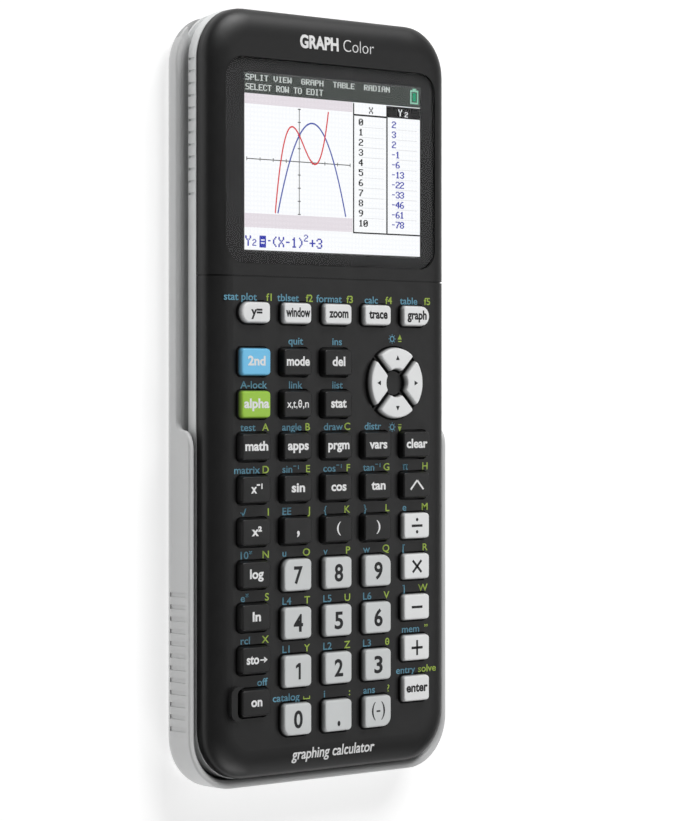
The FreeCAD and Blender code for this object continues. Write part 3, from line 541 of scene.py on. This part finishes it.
def graph_line(function, x_low, x_high, steps=70):
    """Points of a curve on the graph, in millimetres."""
    line = []
    for step in range(steps + 1):
        x = x_low + (x_high - x_low) * step / steps
        column = GRAPH_ORIGIN[0] + x * GRAPH_UNIT[0]
        row = GRAPH_ORIGIN[1] - function(x) * GRAPH_UNIT[1]
        line.append(on_picture(column, row))
    return line


def parabola(x):
    return 3 - (x - 1) ** 2


def cubic(x):
    return x ** 3 - x ** 2 - 2 * x + 2


def display_picture():
    """Every lit or dark area of the display, as thin layers over its glass."""
    def finished(name, sketch, colour, strength=1.0):
        sketch.piece(name, lit(name, colour, strength), "calculator", "display")

    back = Sketch()
    dots(back, (0, DOT_COLUMNS), (STATUS_ROWS, DOT_ROWS), 0)
    finished("screen_white", back, (0.97, 0.98, 1.0), 1.06)

    status = Sketch()
    dots(status, (0, DOT_COLUMNS), (STATUS_TOP, STATUS_ROWS), 0)
    finished("screen_status_bar", status, (0.055, 0.063, 0.058))

    bands = Sketch()
    for rows in BAND_ROWS:
        dots(bands, (0, GRAPH_COLUMNS), rows, 1)
    finished("screen_bands", bands, (0.83, 0.77, 0.82))

    words = Sketch()
    pixel_text(words, "SPLIT VIEW  GRAPH  TABLE  RADIAN", 2, 5.5, (1.32, 1.12), 1, pitch=6.2)
    pixel_text(words, "SELECT ROW TO EDIT", 2, 18, (1.28, 1.2), 1)
    finished("screen_status_words", words, (0.62, 0.66, 0.64))

    battery = Sketch()
    for columns, rows in BATTERY_OUTLINE:
        dots(battery, columns, rows, 1)
    finished("screen_battery_outline", battery, (0.30, 0.62, 0.47))
    charge = Sketch()
    dots(charge, (306, 312.5), (11, 22.5), 1)
    finished("screen_battery_charge", charge, (0.02, 0.33, 0.17))

    axes = Sketch()
    centre, level = GRAPH_ORIGIN
    unit_x, unit_y = GRAPH_UNIT
    reach_x = GRAPH_LIMIT * unit_x
    reach_y = GRAPH_LIMIT * unit_y
    half = AXIS_WIDTH / 2
    dots(axes, (centre - reach_x, centre + reach_x), (level - half, level + half), 1)
    dots(axes, (centre - half, centre + half), (level - reach_y, level + reach_y), 1)
    for tick in range(-4, 5):
        column = centre + tick * unit_x
        row = level - tick * unit_y
        dots(axes, (column - half, column + half), (level - TICK, level + TICK), 1)
        dots(axes, (centre - TICK, centre + TICK), (row - half, row + half), 1)
    finished("screen_axes", axes, (0.045, 0.045, 0.045))

    z = PICTURE_Z + 2 * LAYER
    blue = Sketch()
    reach = math.sqrt(3 + GRAPH_LIMIT)
    blue.ribbon(graph_line(parabola, 1 - reach, 1 + reach), CURVE_WIDTH * DOT,
                z, z + LAYER * 0.8)
    finished("screen_blue_curve", blue, (0.07, 0.10, 0.42))
    red = Sketch()
    red.ribbon(graph_line(cubic, *CUBIC_SPAN), CURVE_WIDTH * DOT, z + LAYER, z + LAYER * 1.8)
    finished("screen_red_curve", red, (0.72, 0.055, 0.065))

    table_picture(finished)
    formula_line(finished)


def table_picture(finished):
    """Right-hand part of the picture: a table with its header."""
    rules = Sketch()
    dots(rules, (TABLE_LEFT, TABLE_LEFT + 2.2), (STATUS_ROWS + 1, TABLE_END), 1)
    dots(rules, (TABLE_LEFT, TABLE_SPLIT), (TABLE_HEADER[1] - 1, TABLE_HEADER[1] + 1.4), 1)
    dots(rules, (TABLE_SPLIT, TABLE_SPLIT + 2.6), (TABLE_HEADER[0], TABLE_END), 1)
    dots(rules, (TABLE_SPLIT, DOT_COLUMNS), TABLE_HEADER, 1)
    dots(rules, (TABLE_LEFT, DOT_COLUMNS), (TABLE_END - 2, TABLE_END), 1)
    pixel_text(rules, "X", 224, 36, (1.35, 1.3), 1)
    finished("screen_table_rules", rules, (0.008, 0.008, 0.008))

    heading = Sketch()
    pixel_text(heading, "Y", 279, 35.5, (1.35, 1.35), 2)
    pixel_text(heading, "2", 291, 38.5, (1.15, 1.05), 2)
    finished("screen_table_heading", heading, (0.92, 0.93, 0.95))

    faint = Sketch()
    numbers = Sketch()
    values = Sketch()
    for index, value in enumerate(TABLE_VALUES):
        middle = TABLE_FIRST_ROW + index * TABLE_PITCH
        pixel_text(numbers, str(index), 205, middle - 4.6, (1.45, 1.35), 1, bold=0.6)
        left = 266 if value < 0 else 267
        pixel_text(values, str(value), left, middle - 4.6, (1.4, 1.35), 1, pitch=5.8, bold=0.6)
        if index:
            row = middle - TABLE_PITCH / 2
            dots(faint, (TABLE_LEFT + 16, TABLE_SPLIT - 4), (row - 0.4, row + 0.4), 0.9)
            dots(faint, (TABLE_SPLIT + 18, DOT_COLUMNS - 6), (row - 0.4, row + 0.4), 0.9)
    finished("screen_table_lines", faint, (0.78, 0.78, 0.80))
    finished("screen_table_numbers", numbers, (0.012, 0.012, 0.012))
    finished("screen_table_values", values, (0.055, 0.065, 0.42))


def formula_line(finished):
    """Bottom line of the picture, with the formula of the blue curve."""
    words = Sketch()
    pixel_text(words, "Y", 1.5, 221, (1.95, 2.0), 1)
    pixel_text(words, "2", 14, 225.5, (1.25, 1.3), 1)
    dots(words, (26, 37.5), (220.5, 236.5), 1)
    dots(words, (41, 45.5), (226, 227.8), 1)
    pixel_text(words, "(X-1)", 48, 221, (1.95, 2.0), 1, pitch=5.9)
    pixel_text(words, "2", 105, 216.5, (1.35, 1.35), 1)
    pixel_text(words, "+3", 115, 221, (2.0, 2.0), 1, pitch=6.2)
    finished("screen_formula", words, (0.035, 0.045, 0.42))
    cursor = Sketch()
    dots(cursor, (28.5, 35), (225.5, 227.3), 2)
    dots(cursor, (28.5, 35), (229.5, 231.3), 2)
    finished("screen_formula_cursor", cursor, (0.9, 0.92, 0.98))


BORDER_INSET = 0.12         # from the window's edge
BORDER_MARGIN = 0.35        # between the border and the picture


def window_border():
    """Black border printed in the window's underside, open over the picture."""
    sketch = Sketch()
    inset = BORDER_INSET
    outer = rounded_outline(WINDOW_LOW.x + inset, WINDOW_HIGH.x - inset, WINDOW_LOW.y + inset,
                            WINDOW_HIGH.y - inset, [WINDOW_CORNER - inset] * 4)
    margin = BORDER_MARGIN
    left, top = on_picture(0, STATUS_TOP)
    right, low = on_picture(DOT_COLUMNS, DOT_ROWS)
    inner = rounded_outline(left - margin, right + margin, low - margin, top + margin, [0.4] * 4)
    sketch.frame(outer, inner, WINDOW_LOW.z + 0.005, WINDOW_LOW.z + 0.02)
    return sketch


# ---- keys ---------------------------------------------------------------------------

WALL_SHADE_Z = FACE_Z + 0.95     # middle of the fade from painted shade at the foot of the walls to the cap's colour
WALL_SHADE_FADE = 0.6
EDGE_ROLL = 0.32
EDGE_STEPS = 5
CAP_TAPER = 0.36
CROWN = 0.035
CROWN_SHARES = (0.96, 0.72, 0.45, 0.18)
LEAST_CORNER = 0.25
LABEL_CAP = 2.15
LABEL_DROP = 0.80           # a label's baseline lies this far under the middle of its key
DIGIT_HEIGHT = 4.0
DIGIT_BOLD = 0.024
LEGEND_BOLD = 0.012
LEGEND_HEIGHT = 1.72
LEGEND_LIFT = 1.25          # a legend's middle lies this far above its key
ROW_ONE_LIFT = 1.06
ROW_TWO_LIFT = 1.70
GREEN_RIGHT = 5.3           # right edge of a green legend from the middle of its key

FUNCTION_CORNER = 1.3
DARK_CORNER = 1.2
NUMBER_CORNER = 1.4
FUNCTION_END = 2.7
NUMBER_END = 2.7

FUNCTION_ROW = {"y_equals", "window", "zoom", "trace", "graph"}
OPERATORS = {"divide", "multiply", "minus", "plus", "enter"}
NUMBERS = {"7", "8", "9", "4", "5", "6", "1", "2", "3", "0", "decimal", "negative"}
LARGE_CORNERS = {"y_equals": (0, 3), "graph": (1, 2), "7": (0,), "9": (1,), "negative": (2,),
                 "0": (3,)}

# key, label, label width, blue legend, its left edge from the key's middle, green legend
KEYS = [
    ("y_equals", "y=", 3.5, "stat plot", -8.8, "f1"),
    ("window", "window", 7.8, "tblset", -5.3, "f2"),
    ("zoom", "zoom", 6.3, "format", -5.9, "f3"),
    ("trace", "trace", 6.2, "calc", -3.1, "f4"),
    ("graph", "graph", 6.6, "table", -4.3, "f5"),
    ("second", "2nd", 5.5, "", 0, ""),
    ("mode", "mode", 7.4, "quit", -1.7, ""),
    ("delete", "del", 4.2, "ins", -0.6, ""),
    ("alpha", "alpha", 7.9, "A-lock", -3.7, ""),
    ("variable", "x,t,θ,n", 7.2, "link", -1.5, ""),
    ("stat", "stat", 5.1, "list", -0.6, ""),
    ("math", "math", 7.2, "test", -3.7, "A"),
    ("apps", "apps", 6.7, "angle", -3.7, "B"),
    ("program", "prgm", 7.0, "draw", -3.4, "C"),
    ("vars", "vars", 6.0, "distr", -3.1, ""),
    ("clear", "clear", 7.2, "", 0, ""),
    ("inverse", "x⁻¹", 3.6, "matrix", -5.6, "D"),
    ("sine", "sin", 4.3, "sin⁻¹", -3.6, "E"),
    ("cosine", "cos", 5.0, "cos⁻¹", -3.6, "F"),
    ("tangent", "tan", 4.8, "tan⁻¹", -3.6, "G"),
    ("power", "", 0, "π", -3.4, "H"),
    ("square", "x²", 3.2, "√", -3.6, "I"),
    ("comma", ",", 0.9, "EE", -3.6, "J"),
    ("open_bracket", "(", 1.3, "{", -3.4, "K"),
    ("close_bracket", ")", 1.3, "}", -3.4, "L"),
    ("divide", "", 0, "e", -3.4, "M"),
    ("log", "log", 4.3, "10ˣ", -3.6, "N"),
    ("7", "7", 2.8, "u", -3.6, "O"),
    ("8", "8", 2.8, "v", -3.6, "P"),
    ("9", "9", 2.8, "w", -3.6, "Q"),
    ("multiply", "", 0, "[", -3.4, "R"),
    ("ln", "ln", 2.6, "eˣ", -3.6, "S"),
    ("4", "4", 3.0, "L4", -3.6, "T"),
    ("5", "5", 2.8, "L5", -3.6, "U"),
    ("6", "6", 2.8, "L6", -3.6, "V"),
    ("minus", "", 0, "]", -3.4, "W"),
    ("store", "sto", 3.9, "rcl", -3.6, "X"),
    ("1", "1", 1.6, "L1", -3.6, "Y"),
    ("2", "2", 2.8, "L2", -3.6, "Z"),
    ("3", "3", 2.8, "L3", -3.6, "θ"),
    ("plus", "", 0, "mem", -3.6, "”"),
    ("on", "on", 3.5, "off", 1.6, ""),
    ("0", "0", 2.8, "catalog", -6.7, ""),
    ("decimal", ".", 0.9, "i", -3.4, ":"),
    ("negative", "(-)", 4.4, "ans", -3.5, "?"),
    ("enter", "enter", 7.3, "entry", -5.6, "solve"),
]


def key_centre(node):
    low, high = node_box(node)
    return (low.x + high.x) / 2, (low.y + high.y) / 2


def cap_levels(base_z, top_z):
    """(height, inset) of a cap from its flange to the start of its top face."""
    levels = [(base_z, -FLANGE_REACH), (base_z + FLANGE_THICKNESS, -FLANGE_REACH),
              (base_z + FLANGE_THICKNESS, 0.0), (FACE_Z, 0.0), (top_z - EDGE_ROLL, CAP_TAPER)]
    for step in range(1, EDGE_STEPS + 1):
        angle = math.pi / 2 * step / EDGE_STEPS
        levels.append((top_z - EDGE_ROLL * (1 - math.sin(angle)),
                       CAP_TAPER + EDGE_ROLL * (1 - math.cos(angle))))
    return levels


def crowned(ring, centre, top_z):
    """Smaller and smaller copies of the top outline that rise a little to the middle."""
    rings = []
    for share in CROWN_SHARES:
        z = top_z + CROWN * (1 - share ** 2)
        rings.append([(centre[0] + (x - centre[0]) * share, centre[1] + (y - centre[1]) * share, z)
                      for x, y, _ in ring])
    return rings


def straight_cap(key):
    """Key cap with a rolled top edge and a slightly crowned face."""
    low, high = node_box("key_" + key)
    corner = DARK_CORNER
    large = NUMBER_END
    if key in FUNCTION_ROW:
        corner = FUNCTION_CORNER
        large = FUNCTION_END
    if key in NUMBERS:
        corner = NUMBER_CORNER
    radii = [large if index in LARGE_CORNERS.get(key, ()) else corner for index in range(4)]
    top_z = high.z - INK_DEPTH - CROWN
    rings = []
    for z, inset in cap_levels(low.z, top_z):
        grow = FLANGE_REACH + inset
        outline = rounded_outline(low.x + grow, high.x - grow, low.y + grow, high.y - grow,
                                  [max(radius - inset, LEAST_CORNER) for radius in radii])
        rings.append([(x, y, z) for x, y in outline])
    sketch = Sketch()
    sketch.rings(rings + crowned(rings[-1], key_centre("key_" + key), top_z))
    return sketch


SIGN_STROKE = 0.62


def symbol(sketch, key, x, y, z):
    """Drawn signs of the operator keys, the power key and the store key's arrow."""
    low = z - INK_DEPTH
    half = SIGN_STROKE / 2
    if key == "power":
        for side in (-1, 1):
            sketch.ribbon([(x + side * 2.2, y - 1.1), (x + side * 0.02, y + 1.2)], 0.5, low, z)
    if key in ("divide", "minus"):
        sketch.block(x - 1.85, x + 1.85, y - half, y + half, low, z)
    if key == "divide":
        for side in (1, -1):
            sketch.prism(disc_outline(x, y + side * 1.55, 0.42), low, z)
    if key == "multiply":
        for side in (1, -1):
            sketch.ribbon([(x - 1.5, y - side * 1.5), (x + 1.5, y + side * 1.5)],
                          SIGN_STROKE, low, z)
    if key == "plus":
        sketch.block(x - 1.9, x + 1.9, y - half, y + half, low, z)
        sketch.block(x - half, x + half, y - 1.9, y + 1.9, low, z)
    if key == "store":
        sketch.block(x + 1.1, x + 2.6, y - 0.15, y + 0.2, low, z)
        sketch.prism([(x + 2.3, y - 0.75), (x + 3.4, y + 0.03), (x + 2.3, y + 0.8)], low, z)


def digit_one(sketch, x, y, height, z):
    """Figure one with its flag, on the baseline y; its stem stands to the right of the middle."""
    stem = height * 0.17
    left = x + height * 0.02
    low = z - INK_DEPTH
    sketch.block(left, left + stem, y, y + height, low, z)
    sketch.prism([(left - height * 0.22, y + height * 0.68), (left, y + height * 0.77),
                  (left, y + height), (left - height * 0.22, y + height * 0.84)], low, z)


def barred_zero(sketch, x_low, x_high, y, half, z):
    """Bar across the middle of a nought."""
    sketch.block(x_low, x_high, y - half, y + half, z - INK_DEPTH, z)


def variable_letters(sketch, x, y, z):
    """Four small letters with commas, from x on the baseline y; the third is a barred zero."""
    height = 1.9
    gap = 0.25
    place = x - gap
    for text, width in (("x,t,", 3.3), ("0", 1.25), (",n", 1.95)):
        left, right = lettering(sketch, text, place + gap, y, height, z, width, anchor="left",
                                bold=0.01)
        if text == "0":
            barred_zero(sketch, left + 0.2, right - 0.2, y + height / 2, 0.13, z)
        place = right


def key_label(key, text, width, centre, z):
    """Printed label on a key's top."""
    x, y = centre
    sketch = Sketch()
    if key in NUMBERS:
        height = DIGIT_HEIGHT
        baseline = y - DIGIT_HEIGHT / 2
        bold = DIGIT_BOLD
        if key == "negative":
            height = 3.4
            baseline = y - 1.0
            bold = -0.004
        if key == "decimal":
            baseline = y - 2.4
            height = 5.4
        if text == "1":
            digit_one(sketch, x, baseline, height, z)
        else:
            lettering(sketch, text, x, baseline, height, z, width, bold=bold)
        return sketch
    if key == "store":
        x -= 1.2
    if key == "variable":
        variable_letters(sketch, x - width / 2, y - LABEL_DROP, z)
    elif text:
        height = LABEL_CAP
        bold = 0.032
        baseline = y - LABEL_DROP
        if key in ("open_bracket", "close_bracket"):
            height = 2.5
            bold = 0.0
            baseline = y - 0.75
        if key == "comma":
            height = 3.4
        lettering(sketch, text, x, baseline, height, z, width, bold=bold)
    symbol(sketch, key, *centre, z)
    return sketch


def legend(sketch, text, x, baseline, z, anchor):
    """One printed legend on the face."""
    bold = 0.0 if text == "?" else LEGEND_BOLD
    lettering(sketch, text, x, baseline, LEGEND_HEIGHT, z, stretch=LEGEND_STRETCH, anchor=anchor,
              bold=bold)


def face_legends(blue, green):
    """Blue and green second-function legends above the keys."""
    z = FACE_Z + INK_DEPTH
    for key, _, _, blue_text, blue_left, green_text in KEYS:
        low, high = node_box("key_" + key)
        x = (low.x + high.x) / 2
        lift = LEGEND_LIFT
        right = GREEN_RIGHT
        if key in FUNCTION_ROW:
            lift = ROW_ONE_LIFT
            right = GREEN_RIGHT + 0.9
        if key in ("mode", "delete"):
            lift = ROW_TWO_LIFT
        if key == "enter":
            right = GREEN_RIGHT + 2.9
        baseline = high.y - FLANGE_REACH + lift - LEGEND_HEIGHT / 2
        if blue_text:
            legend(blue, blue_text, x + blue_left, baseline, z, "left")
        if green_text == "θ":
            legend(green, "0", x + right, baseline, z, "right")
            middle = baseline + LEGEND_HEIGHT / 2
            barred_zero(green, x + right - 0.95, x + right - 0.35, middle, 0.12, z)
        elif green_text:
            legend(green, green_text, x + right, baseline, z, "right")
    space_mark(green, z)


def space_mark(green, z):
    """Open box above the nought key that stands for a space."""
    right = key_centre("key_0")[0] + GREEN_RIGHT
    left = right - 2.2
    bottom = node_box("key_0")[1].y - FLANGE_REACH + LEGEND_LIFT - 0.9
    stroke = 0.28
    low = z - INK_DEPTH
    green.block(left, right, bottom, bottom + stroke, low, z)
    for start in (left, right - stroke):
        green.block(start, start + stroke, bottom + stroke, bottom + 0.8, low, z)


# ---- arrow pad ----------------------------------------------------------------------

PAD_GAP = 1.1
PAD_INNER = 3.3
PETAL_STEPS = 12
PETAL_CORNER = 0.55
MARK_REACH = 11.1           # from the middle of the pad to the marks above and below it


def pad_centre():
    up_low, up_high = node_box("key_arrow_up")
    right_low, right_high = node_box("key_arrow_right")
    return (up_low.x + up_high.x) / 2, (right_low.y + right_high.y) / 2


def pad_outer(centre):
    return node_box("key_arrow_right")[1].x - centre[0] - FLANGE_REACH


def softened(outline, corners, radius):
    """Replaces each named corner of an outline by a short curve of three points."""
    result = []
    count = len(outline)
    for index, (x, y) in enumerate(outline):
        if index not in corners:
            result.append((x, y))
            continue
        ends = []
        for neighbour in (outline[index - 1], outline[(index + 1) % count]):
            span = math.hypot(neighbour[0] - x, neighbour[1] - y)
            share = min(radius / span, 0.49)
            ends.append((x + (neighbour[0] - x) * share, y + (neighbour[1] - y) * share))
        middle = ((ends[0][0] + ends[1][0] + 2 * x) / 4, (ends[0][1] + ends[1][1] + 2 * y) / 4)
        result += [ends[0], middle, ends[1]]
    return result


def petal_outline(inner, outer, gap, turn):
    """Anticlockwise quarter of a ring between diagonal gaps, with softened corners."""
    outline = []
    for radius, order in ((outer, 1), (inner, -1)):
        half = math.pi / 4 - math.asin(gap / 2 / radius)
        for step in range(PETAL_STEPS + 1):
            angle = order * half * (2 * step / PETAL_STEPS - 1) + turn
            outline.append((radius * math.cos(angle), radius * math.sin(angle)))
    corners = {0, PETAL_STEPS, PETAL_STEPS + 1, 2 * PETAL_STEPS + 1}
    return softened(outline, corners, PETAL_CORNER)


def petal_cap(centre, turn):
    """One arrow key with the same rolled edge as the other keys."""
    low, high = node_box("key_arrow_up")
    outer = pad_outer(centre)
    top_z = high.z - INK_DEPTH - CROWN
    rings = []
    for z, inset in cap_levels(low.z, top_z):
        gap = max(PAD_GAP + 2 * inset, PAD_GAP)
        outline = petal_outline(PAD_INNER + inset, outer - inset, gap, turn)
        rings.append([(centre[0] + x, centre[1] + y, z) for x, y in outline])
    radius = (PAD_INNER + outer) / 2
    middle = (centre[0] + radius * math.cos(turn), centre[1] + radius * math.sin(turn))
    sketch = Sketch()
    sketch.rings(rings + crowned(rings[-1], middle, top_z))
    return sketch, middle


def triangle(x, y, size, turn):
    """Outline of a triangle that points along turn."""
    return [(x + size * math.cos(turn + angle), y + size * math.sin(turn + angle))
            for angle in (0.0, math.radians(125), math.radians(235))]


def pad_marks(centre, blue, green):
    """Brightness and scroll marks above and below the arrow pad."""
    z = FACE_Z + INK_DEPTH
    low = z - INK_DEPTH
    sun_x = centre[0] - 0.3
    arrow_x = centre[0] + 2.3
    for side in (1, -1):
        y = centre[1] + side * MARK_REACH
        blue.frame(disc_outline(sun_x, y, 0.78), disc_outline(sun_x, y, 0.5), low, z)
        for spoke in range(8):
            angle = spoke * math.pi / 4
            ray = [(sun_x + reach * math.cos(angle), y + reach * math.sin(angle))
                   for reach in (0.9, 1.2)]
            blue.ribbon(ray, 0.16, low, z)
        green.prism(triangle(arrow_x, y + side * 0.35, 0.8, side * math.pi / 2), low, z)
        bar_y = y - side * 0.6
        green.block(arrow_x - 0.55, arrow_x + 0.55, bar_y - 0.12, bar_y + 0.12, low, z)


# ---- generic titles on the face -----------------------------------------------------

TITLE_LEFT = -11.2
TITLE_Y = 86.1
TITLE_HEIGHT = 3.0
LOWER_TITLE_Y = -88.4
LOWER_TITLE_HEIGHT = 2.6


def face_drop(y):
    """How far the face has rolled down at a place along its middle."""
    into_roll = max(FACE_LOW.y + SHOULDER_WIDTH - y, y - FACE_HIGH.y + SHOULDER_WIDTH, 0.0)
    share = min(into_roll / SHOULDER_WIDTH, 1.0)
    return SHOULDER_HEIGHT * (1 - math.sqrt(1 - share ** 2))


def drape(sketch):
    """Lowers printed shapes onto the face where it rolls down towards its ends."""
    sketch.points = [(x, y, z - face_drop(y)) for x, y, z in sketch.points]


def face_titles(white):
    """Plain words at the two ends of the face."""
    z = FACE_Z + TITLE_DEPTH / 2
    right = lettering(white, "GRAPH", TITLE_LEFT, TITLE_Y, TITLE_HEIGHT, z, width=12.6,
                      anchor="left", bold=0.035, depth=TITLE_DEPTH)[1]
    lettering(white, "Color", right + 1.6, TITLE_Y, TITLE_HEIGHT, z, width=10.2, anchor="left",
              bold=-0.016, depth=TITLE_DEPTH)
    lettering(white, "graphing calculator", 0.0, LOWER_TITLE_Y, LOWER_TITLE_HEIGHT, z, width=27.0,
              bold=0.012, depth=TITLE_DEPTH)
    drape(white)


# ---- build the looks ----------------------------------------------------------------

def paint(node, material):
    """Gives a CAD node its material."""
    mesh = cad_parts[node].data
    mesh.materials.clear()
    mesh.materials.append(material)


BLACK = (0.0050, 0.0050, 0.0052)
# painted shade at the foot of the light key caps' walls, where they sink towards the face
KEY_WALL_SHADE = (0.006, 0.006, 0.006)
KEY_BLACK = (0.0038, 0.0038, 0.0040)
KEY_WHITE = (0.89, 0.90, 0.90)
NUMBER_WHITE = (0.70, 0.72, 0.72)
KEY_BLUE = (0.19, 0.62, 0.96)
KEY_GREEN = (0.37, 0.65, 0.057)
LEGEND_BLUE = (0.14, 0.37, 0.50)
LEGEND_GREEN = (0.36, 0.50, 0.07)
SILVER = (0.76, 0.77, 0.77)
CASE_GREY = (0.64, 0.645, 0.645)

SHELL_DARK = (0.022, 0.022, 0.023)
BATTERY_LABEL_Z = 6.1
GLASS_LOW_Z = 11.8

paint("front_housing", plastic("face_plastic", BLACK, 0.45, spread=0.10, grain=0.22, depth=0.002))
paint("rear_shell", split_by_height("rear_shell_plastic", SILVER_LOW_Z, (SHELL_DARK, 0.5, 0.0),
                                    (SILVER, 0.38, 0.15)))
paint("slide_case", plastic("case_plastic", CASE_GREY, 0.42, spread=0.035, grain=0.3))
paint("display_window", clear_window())
paint("display_module", split_by_height("display_module_glass", GLASS_LOW_Z,
                                        ((0.55, 0.55, 0.54), 0.35, 0.9),
                                        ((0.006, 0.006, 0.007), 0.12, 0.0)))
paint("key_membrane", plastic("silicone_sheet", (0.33, 0.34, 0.35), 0.55, grain=0.5, depth=0.003))
paint("main_board", circuit_board())
paint("battery_pack", split_by_height("battery_wrap", BATTERY_LABEL_Z,
                                      ((0.035, 0.04, 0.05), 0.35, 0.0),
                                      ((0.05, 0.055, 0.065), 0.4, 0.0)))
paint("battery_door", plastic("door_plastic", SHELL_DARK, 0.5))
paint("screws", metal("screw_steel", (0.55, 0.55, 0.57), 0.3))

display_picture()
border_ink = plastic("border_ink", (0.044, 0.044, 0.045), 0.6, depth=0.0, specular=0.0)
window_border().piece("window_border", border_ink, "calculator", "window")

white_plastic = key_plastic("key_white_plastic", KEY_WHITE, 0.36)
number_plastic = key_plastic("key_number_plastic", NUMBER_WHITE, 0.36)
blue_plastic = key_plastic("key_blue_plastic", KEY_BLUE, 0.36)
green_plastic = key_plastic("key_green_plastic", KEY_GREEN, 0.36)
black_plastic = plastic("key_black_plastic", KEY_BLACK, 0.42, spread=0.10, depth=0.002)
dark_ink = ink("dark_ink", (0.012, 0.012, 0.014))
white_ink = ink("white_ink", (0.90, 0.90, 0.90))
blue_ink = ink("blue_ink", LEGEND_BLUE)
green_ink = ink("green_ink", LEGEND_GREEN)

for key, label, label_width, _, _, _ in KEYS:
    node = "key_" + key
    plastic_used, ink_used, slot = black_plastic, white_ink, "key_dark"
    if key in FUNCTION_ROW or key in OPERATORS or key in NUMBERS:
        plastic_used = number_plastic if key in NUMBERS else white_plastic
        ink_used, slot = dark_ink, "key_light"
    if key == "second":
        plastic_used, slot = blue_plastic, "key_blue"
    if key == "alpha":
        plastic_used, slot = green_plastic, "key_green"
    cap = straight_cap(key).piece("cap_" + key, plastic_used, node, slot)
    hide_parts(node)
    printed = key_label(key, label, label_width, key_centre(node), KEY_TOP_Z)
    printed.piece("label_" + key, ink_used, node)

pad = pad_centre()
for direction, degrees in (("right", 0), ("up", 90), ("left", 180), ("down", 270)):
    node = "key_arrow_" + direction
    turn = math.radians(degrees)
    petal, middle = petal_cap(pad, turn)
    cap = petal.piece("cap_arrow_" + direction, white_plastic, node, "key_light")
    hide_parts(node)
    mark = Sketch()
    mark.prism(triangle(*middle, 0.75, turn), KEY_TOP_Z - INK_DEPTH, KEY_TOP_Z)
    mark.piece("label_arrow_" + direction, dark_ink, node)

blue_legends = Sketch()
green_legends = Sketch()
face_legends(blue_legends, green_legends)
pad_marks(pad, blue_legends, green_legends)
blue_legends.piece("legends_blue", blue_ink, "calculator")
green_legends.piece("legends_green", green_ink, "calculator")
titles = Sketch()
face_titles(titles)
titles.piece("legends_white", white_ink, "calculator")


# ---- floor, light and camera --------------------------------------------------------

FLOOR_HALF = 4.0
FLOOR_DROP = 0.0002
FLOOR_GLOW = 0.95
WORLD_LEVEL = 0.10


def floor():
    mesh = bpy.data.meshes.new("floor")
    corners = [(x * FLOOR_HALF, y * FLOOR_HALF, -FLOOR_DROP)
               for x, y in ((-1, -1), (1, -1), (1, 1), (-1, 1))]
    mesh.from_pydata(corners, [], [(0, 1, 2, 3)])
    material, shader = new_material("studio_floor")
    tone = add_mix(material, add_noise(material, 60.0), (0.61, 0.61, 0.61), (0.63, 0.63, 0.63))
    material.node_tree.links.new(tone, shader.inputs["Base Color"])
    material.node_tree.links.new(tone, shader.inputs["Emission Color"])
    shader.inputs["Emission Strength"].default_value = FLOOR_GLOW
    shader.inputs["Roughness"].default_value = 0.9
    shader.inputs["Specular IOR Level"].default_value = 0.0
    mesh.materials.append(material)
    made = bpy.data.objects.new("floor", mesh)
    bpy.context.scene.collection.objects.link(made)


def softbox(name, place, size, radiance, target=(0.0, 0.0, 0.01)):
    """Rectangular studio light aimed at the target; places and sizes in metres."""
    light = bpy.data.lights.new(name, "AREA")
    light.shape = "RECTANGLE"
    light.size = size[0]
    light.size_y = size[1]
    light.energy = radiance * math.pi * size[0] * size[1]
    made = bpy.data.objects.new(name, light)
    bpy.context.scene.collection.objects.link(made)
    made.location = place
    direction = Vector(target) - Vector(place)
    made.rotation_euler = direction.to_track_quat("-Z", "Y").to_euler()


CAMERA_TARGET = Vector((2.1, 1.97, 14.4)) * MM
CAMERA_DISTANCE = 0.720
CAMERA_TILT = math.radians(41.582)      # from straight above towards -X
CAMERA_LENS = 127.27
CAMERA_SHIFT_Y = -0.0245


def camera():
    """Camera with the display end of the calculator upwards in the picture."""
    data = bpy.data.cameras.new("camera")
    data.sensor_width = 36.0
    data.lens = CAMERA_LENS
    data.shift_y = CAMERA_SHIFT_Y
    made = bpy.data.objects.new("camera", data)
    bpy.context.scene.collection.objects.link(made)
    back = Vector((-math.sin(CAMERA_TILT), 0.0, math.cos(CAMERA_TILT)))
    up = Vector((0.0, 1.0, 0.0))
    right = up.cross(back)
    place = CAMERA_TARGET + back * CAMERA_DISTANCE
    turn = Matrix((right, up, back)).transposed().to_4x4()
    made.matrix_world = Matrix.Translation(place) @ turn
    bpy.context.scene.camera = made


world = bpy.data.worlds.new("studio")
world.use_nodes = True
world.node_tree.nodes["Background"].inputs["Color"].default_value = (1.0, 1.0, 1.0, 1.0)
world.node_tree.nodes["Background"].inputs["Strength"].default_value = WORLD_LEVEL
bpy.context.scene.world = world
floor()
softbox("panel_right", (0.95, -0.03, 1.0), (0.62, 0.55), 1.65)
softbox("panel_left", (-1.25, 0.0, 0.22), (1.8, 0.5), 0.8)
softbox("softbox_top", (0.34, 1.17, 0.82), (0.9, 0.6), 10.5)
softbox("softbox_bottom", (0.3, -1.2, 0.82), (0.9, 0.6), 4.0)
camera()
bpy.context.scene.view_settings.view_transform = "Standard"
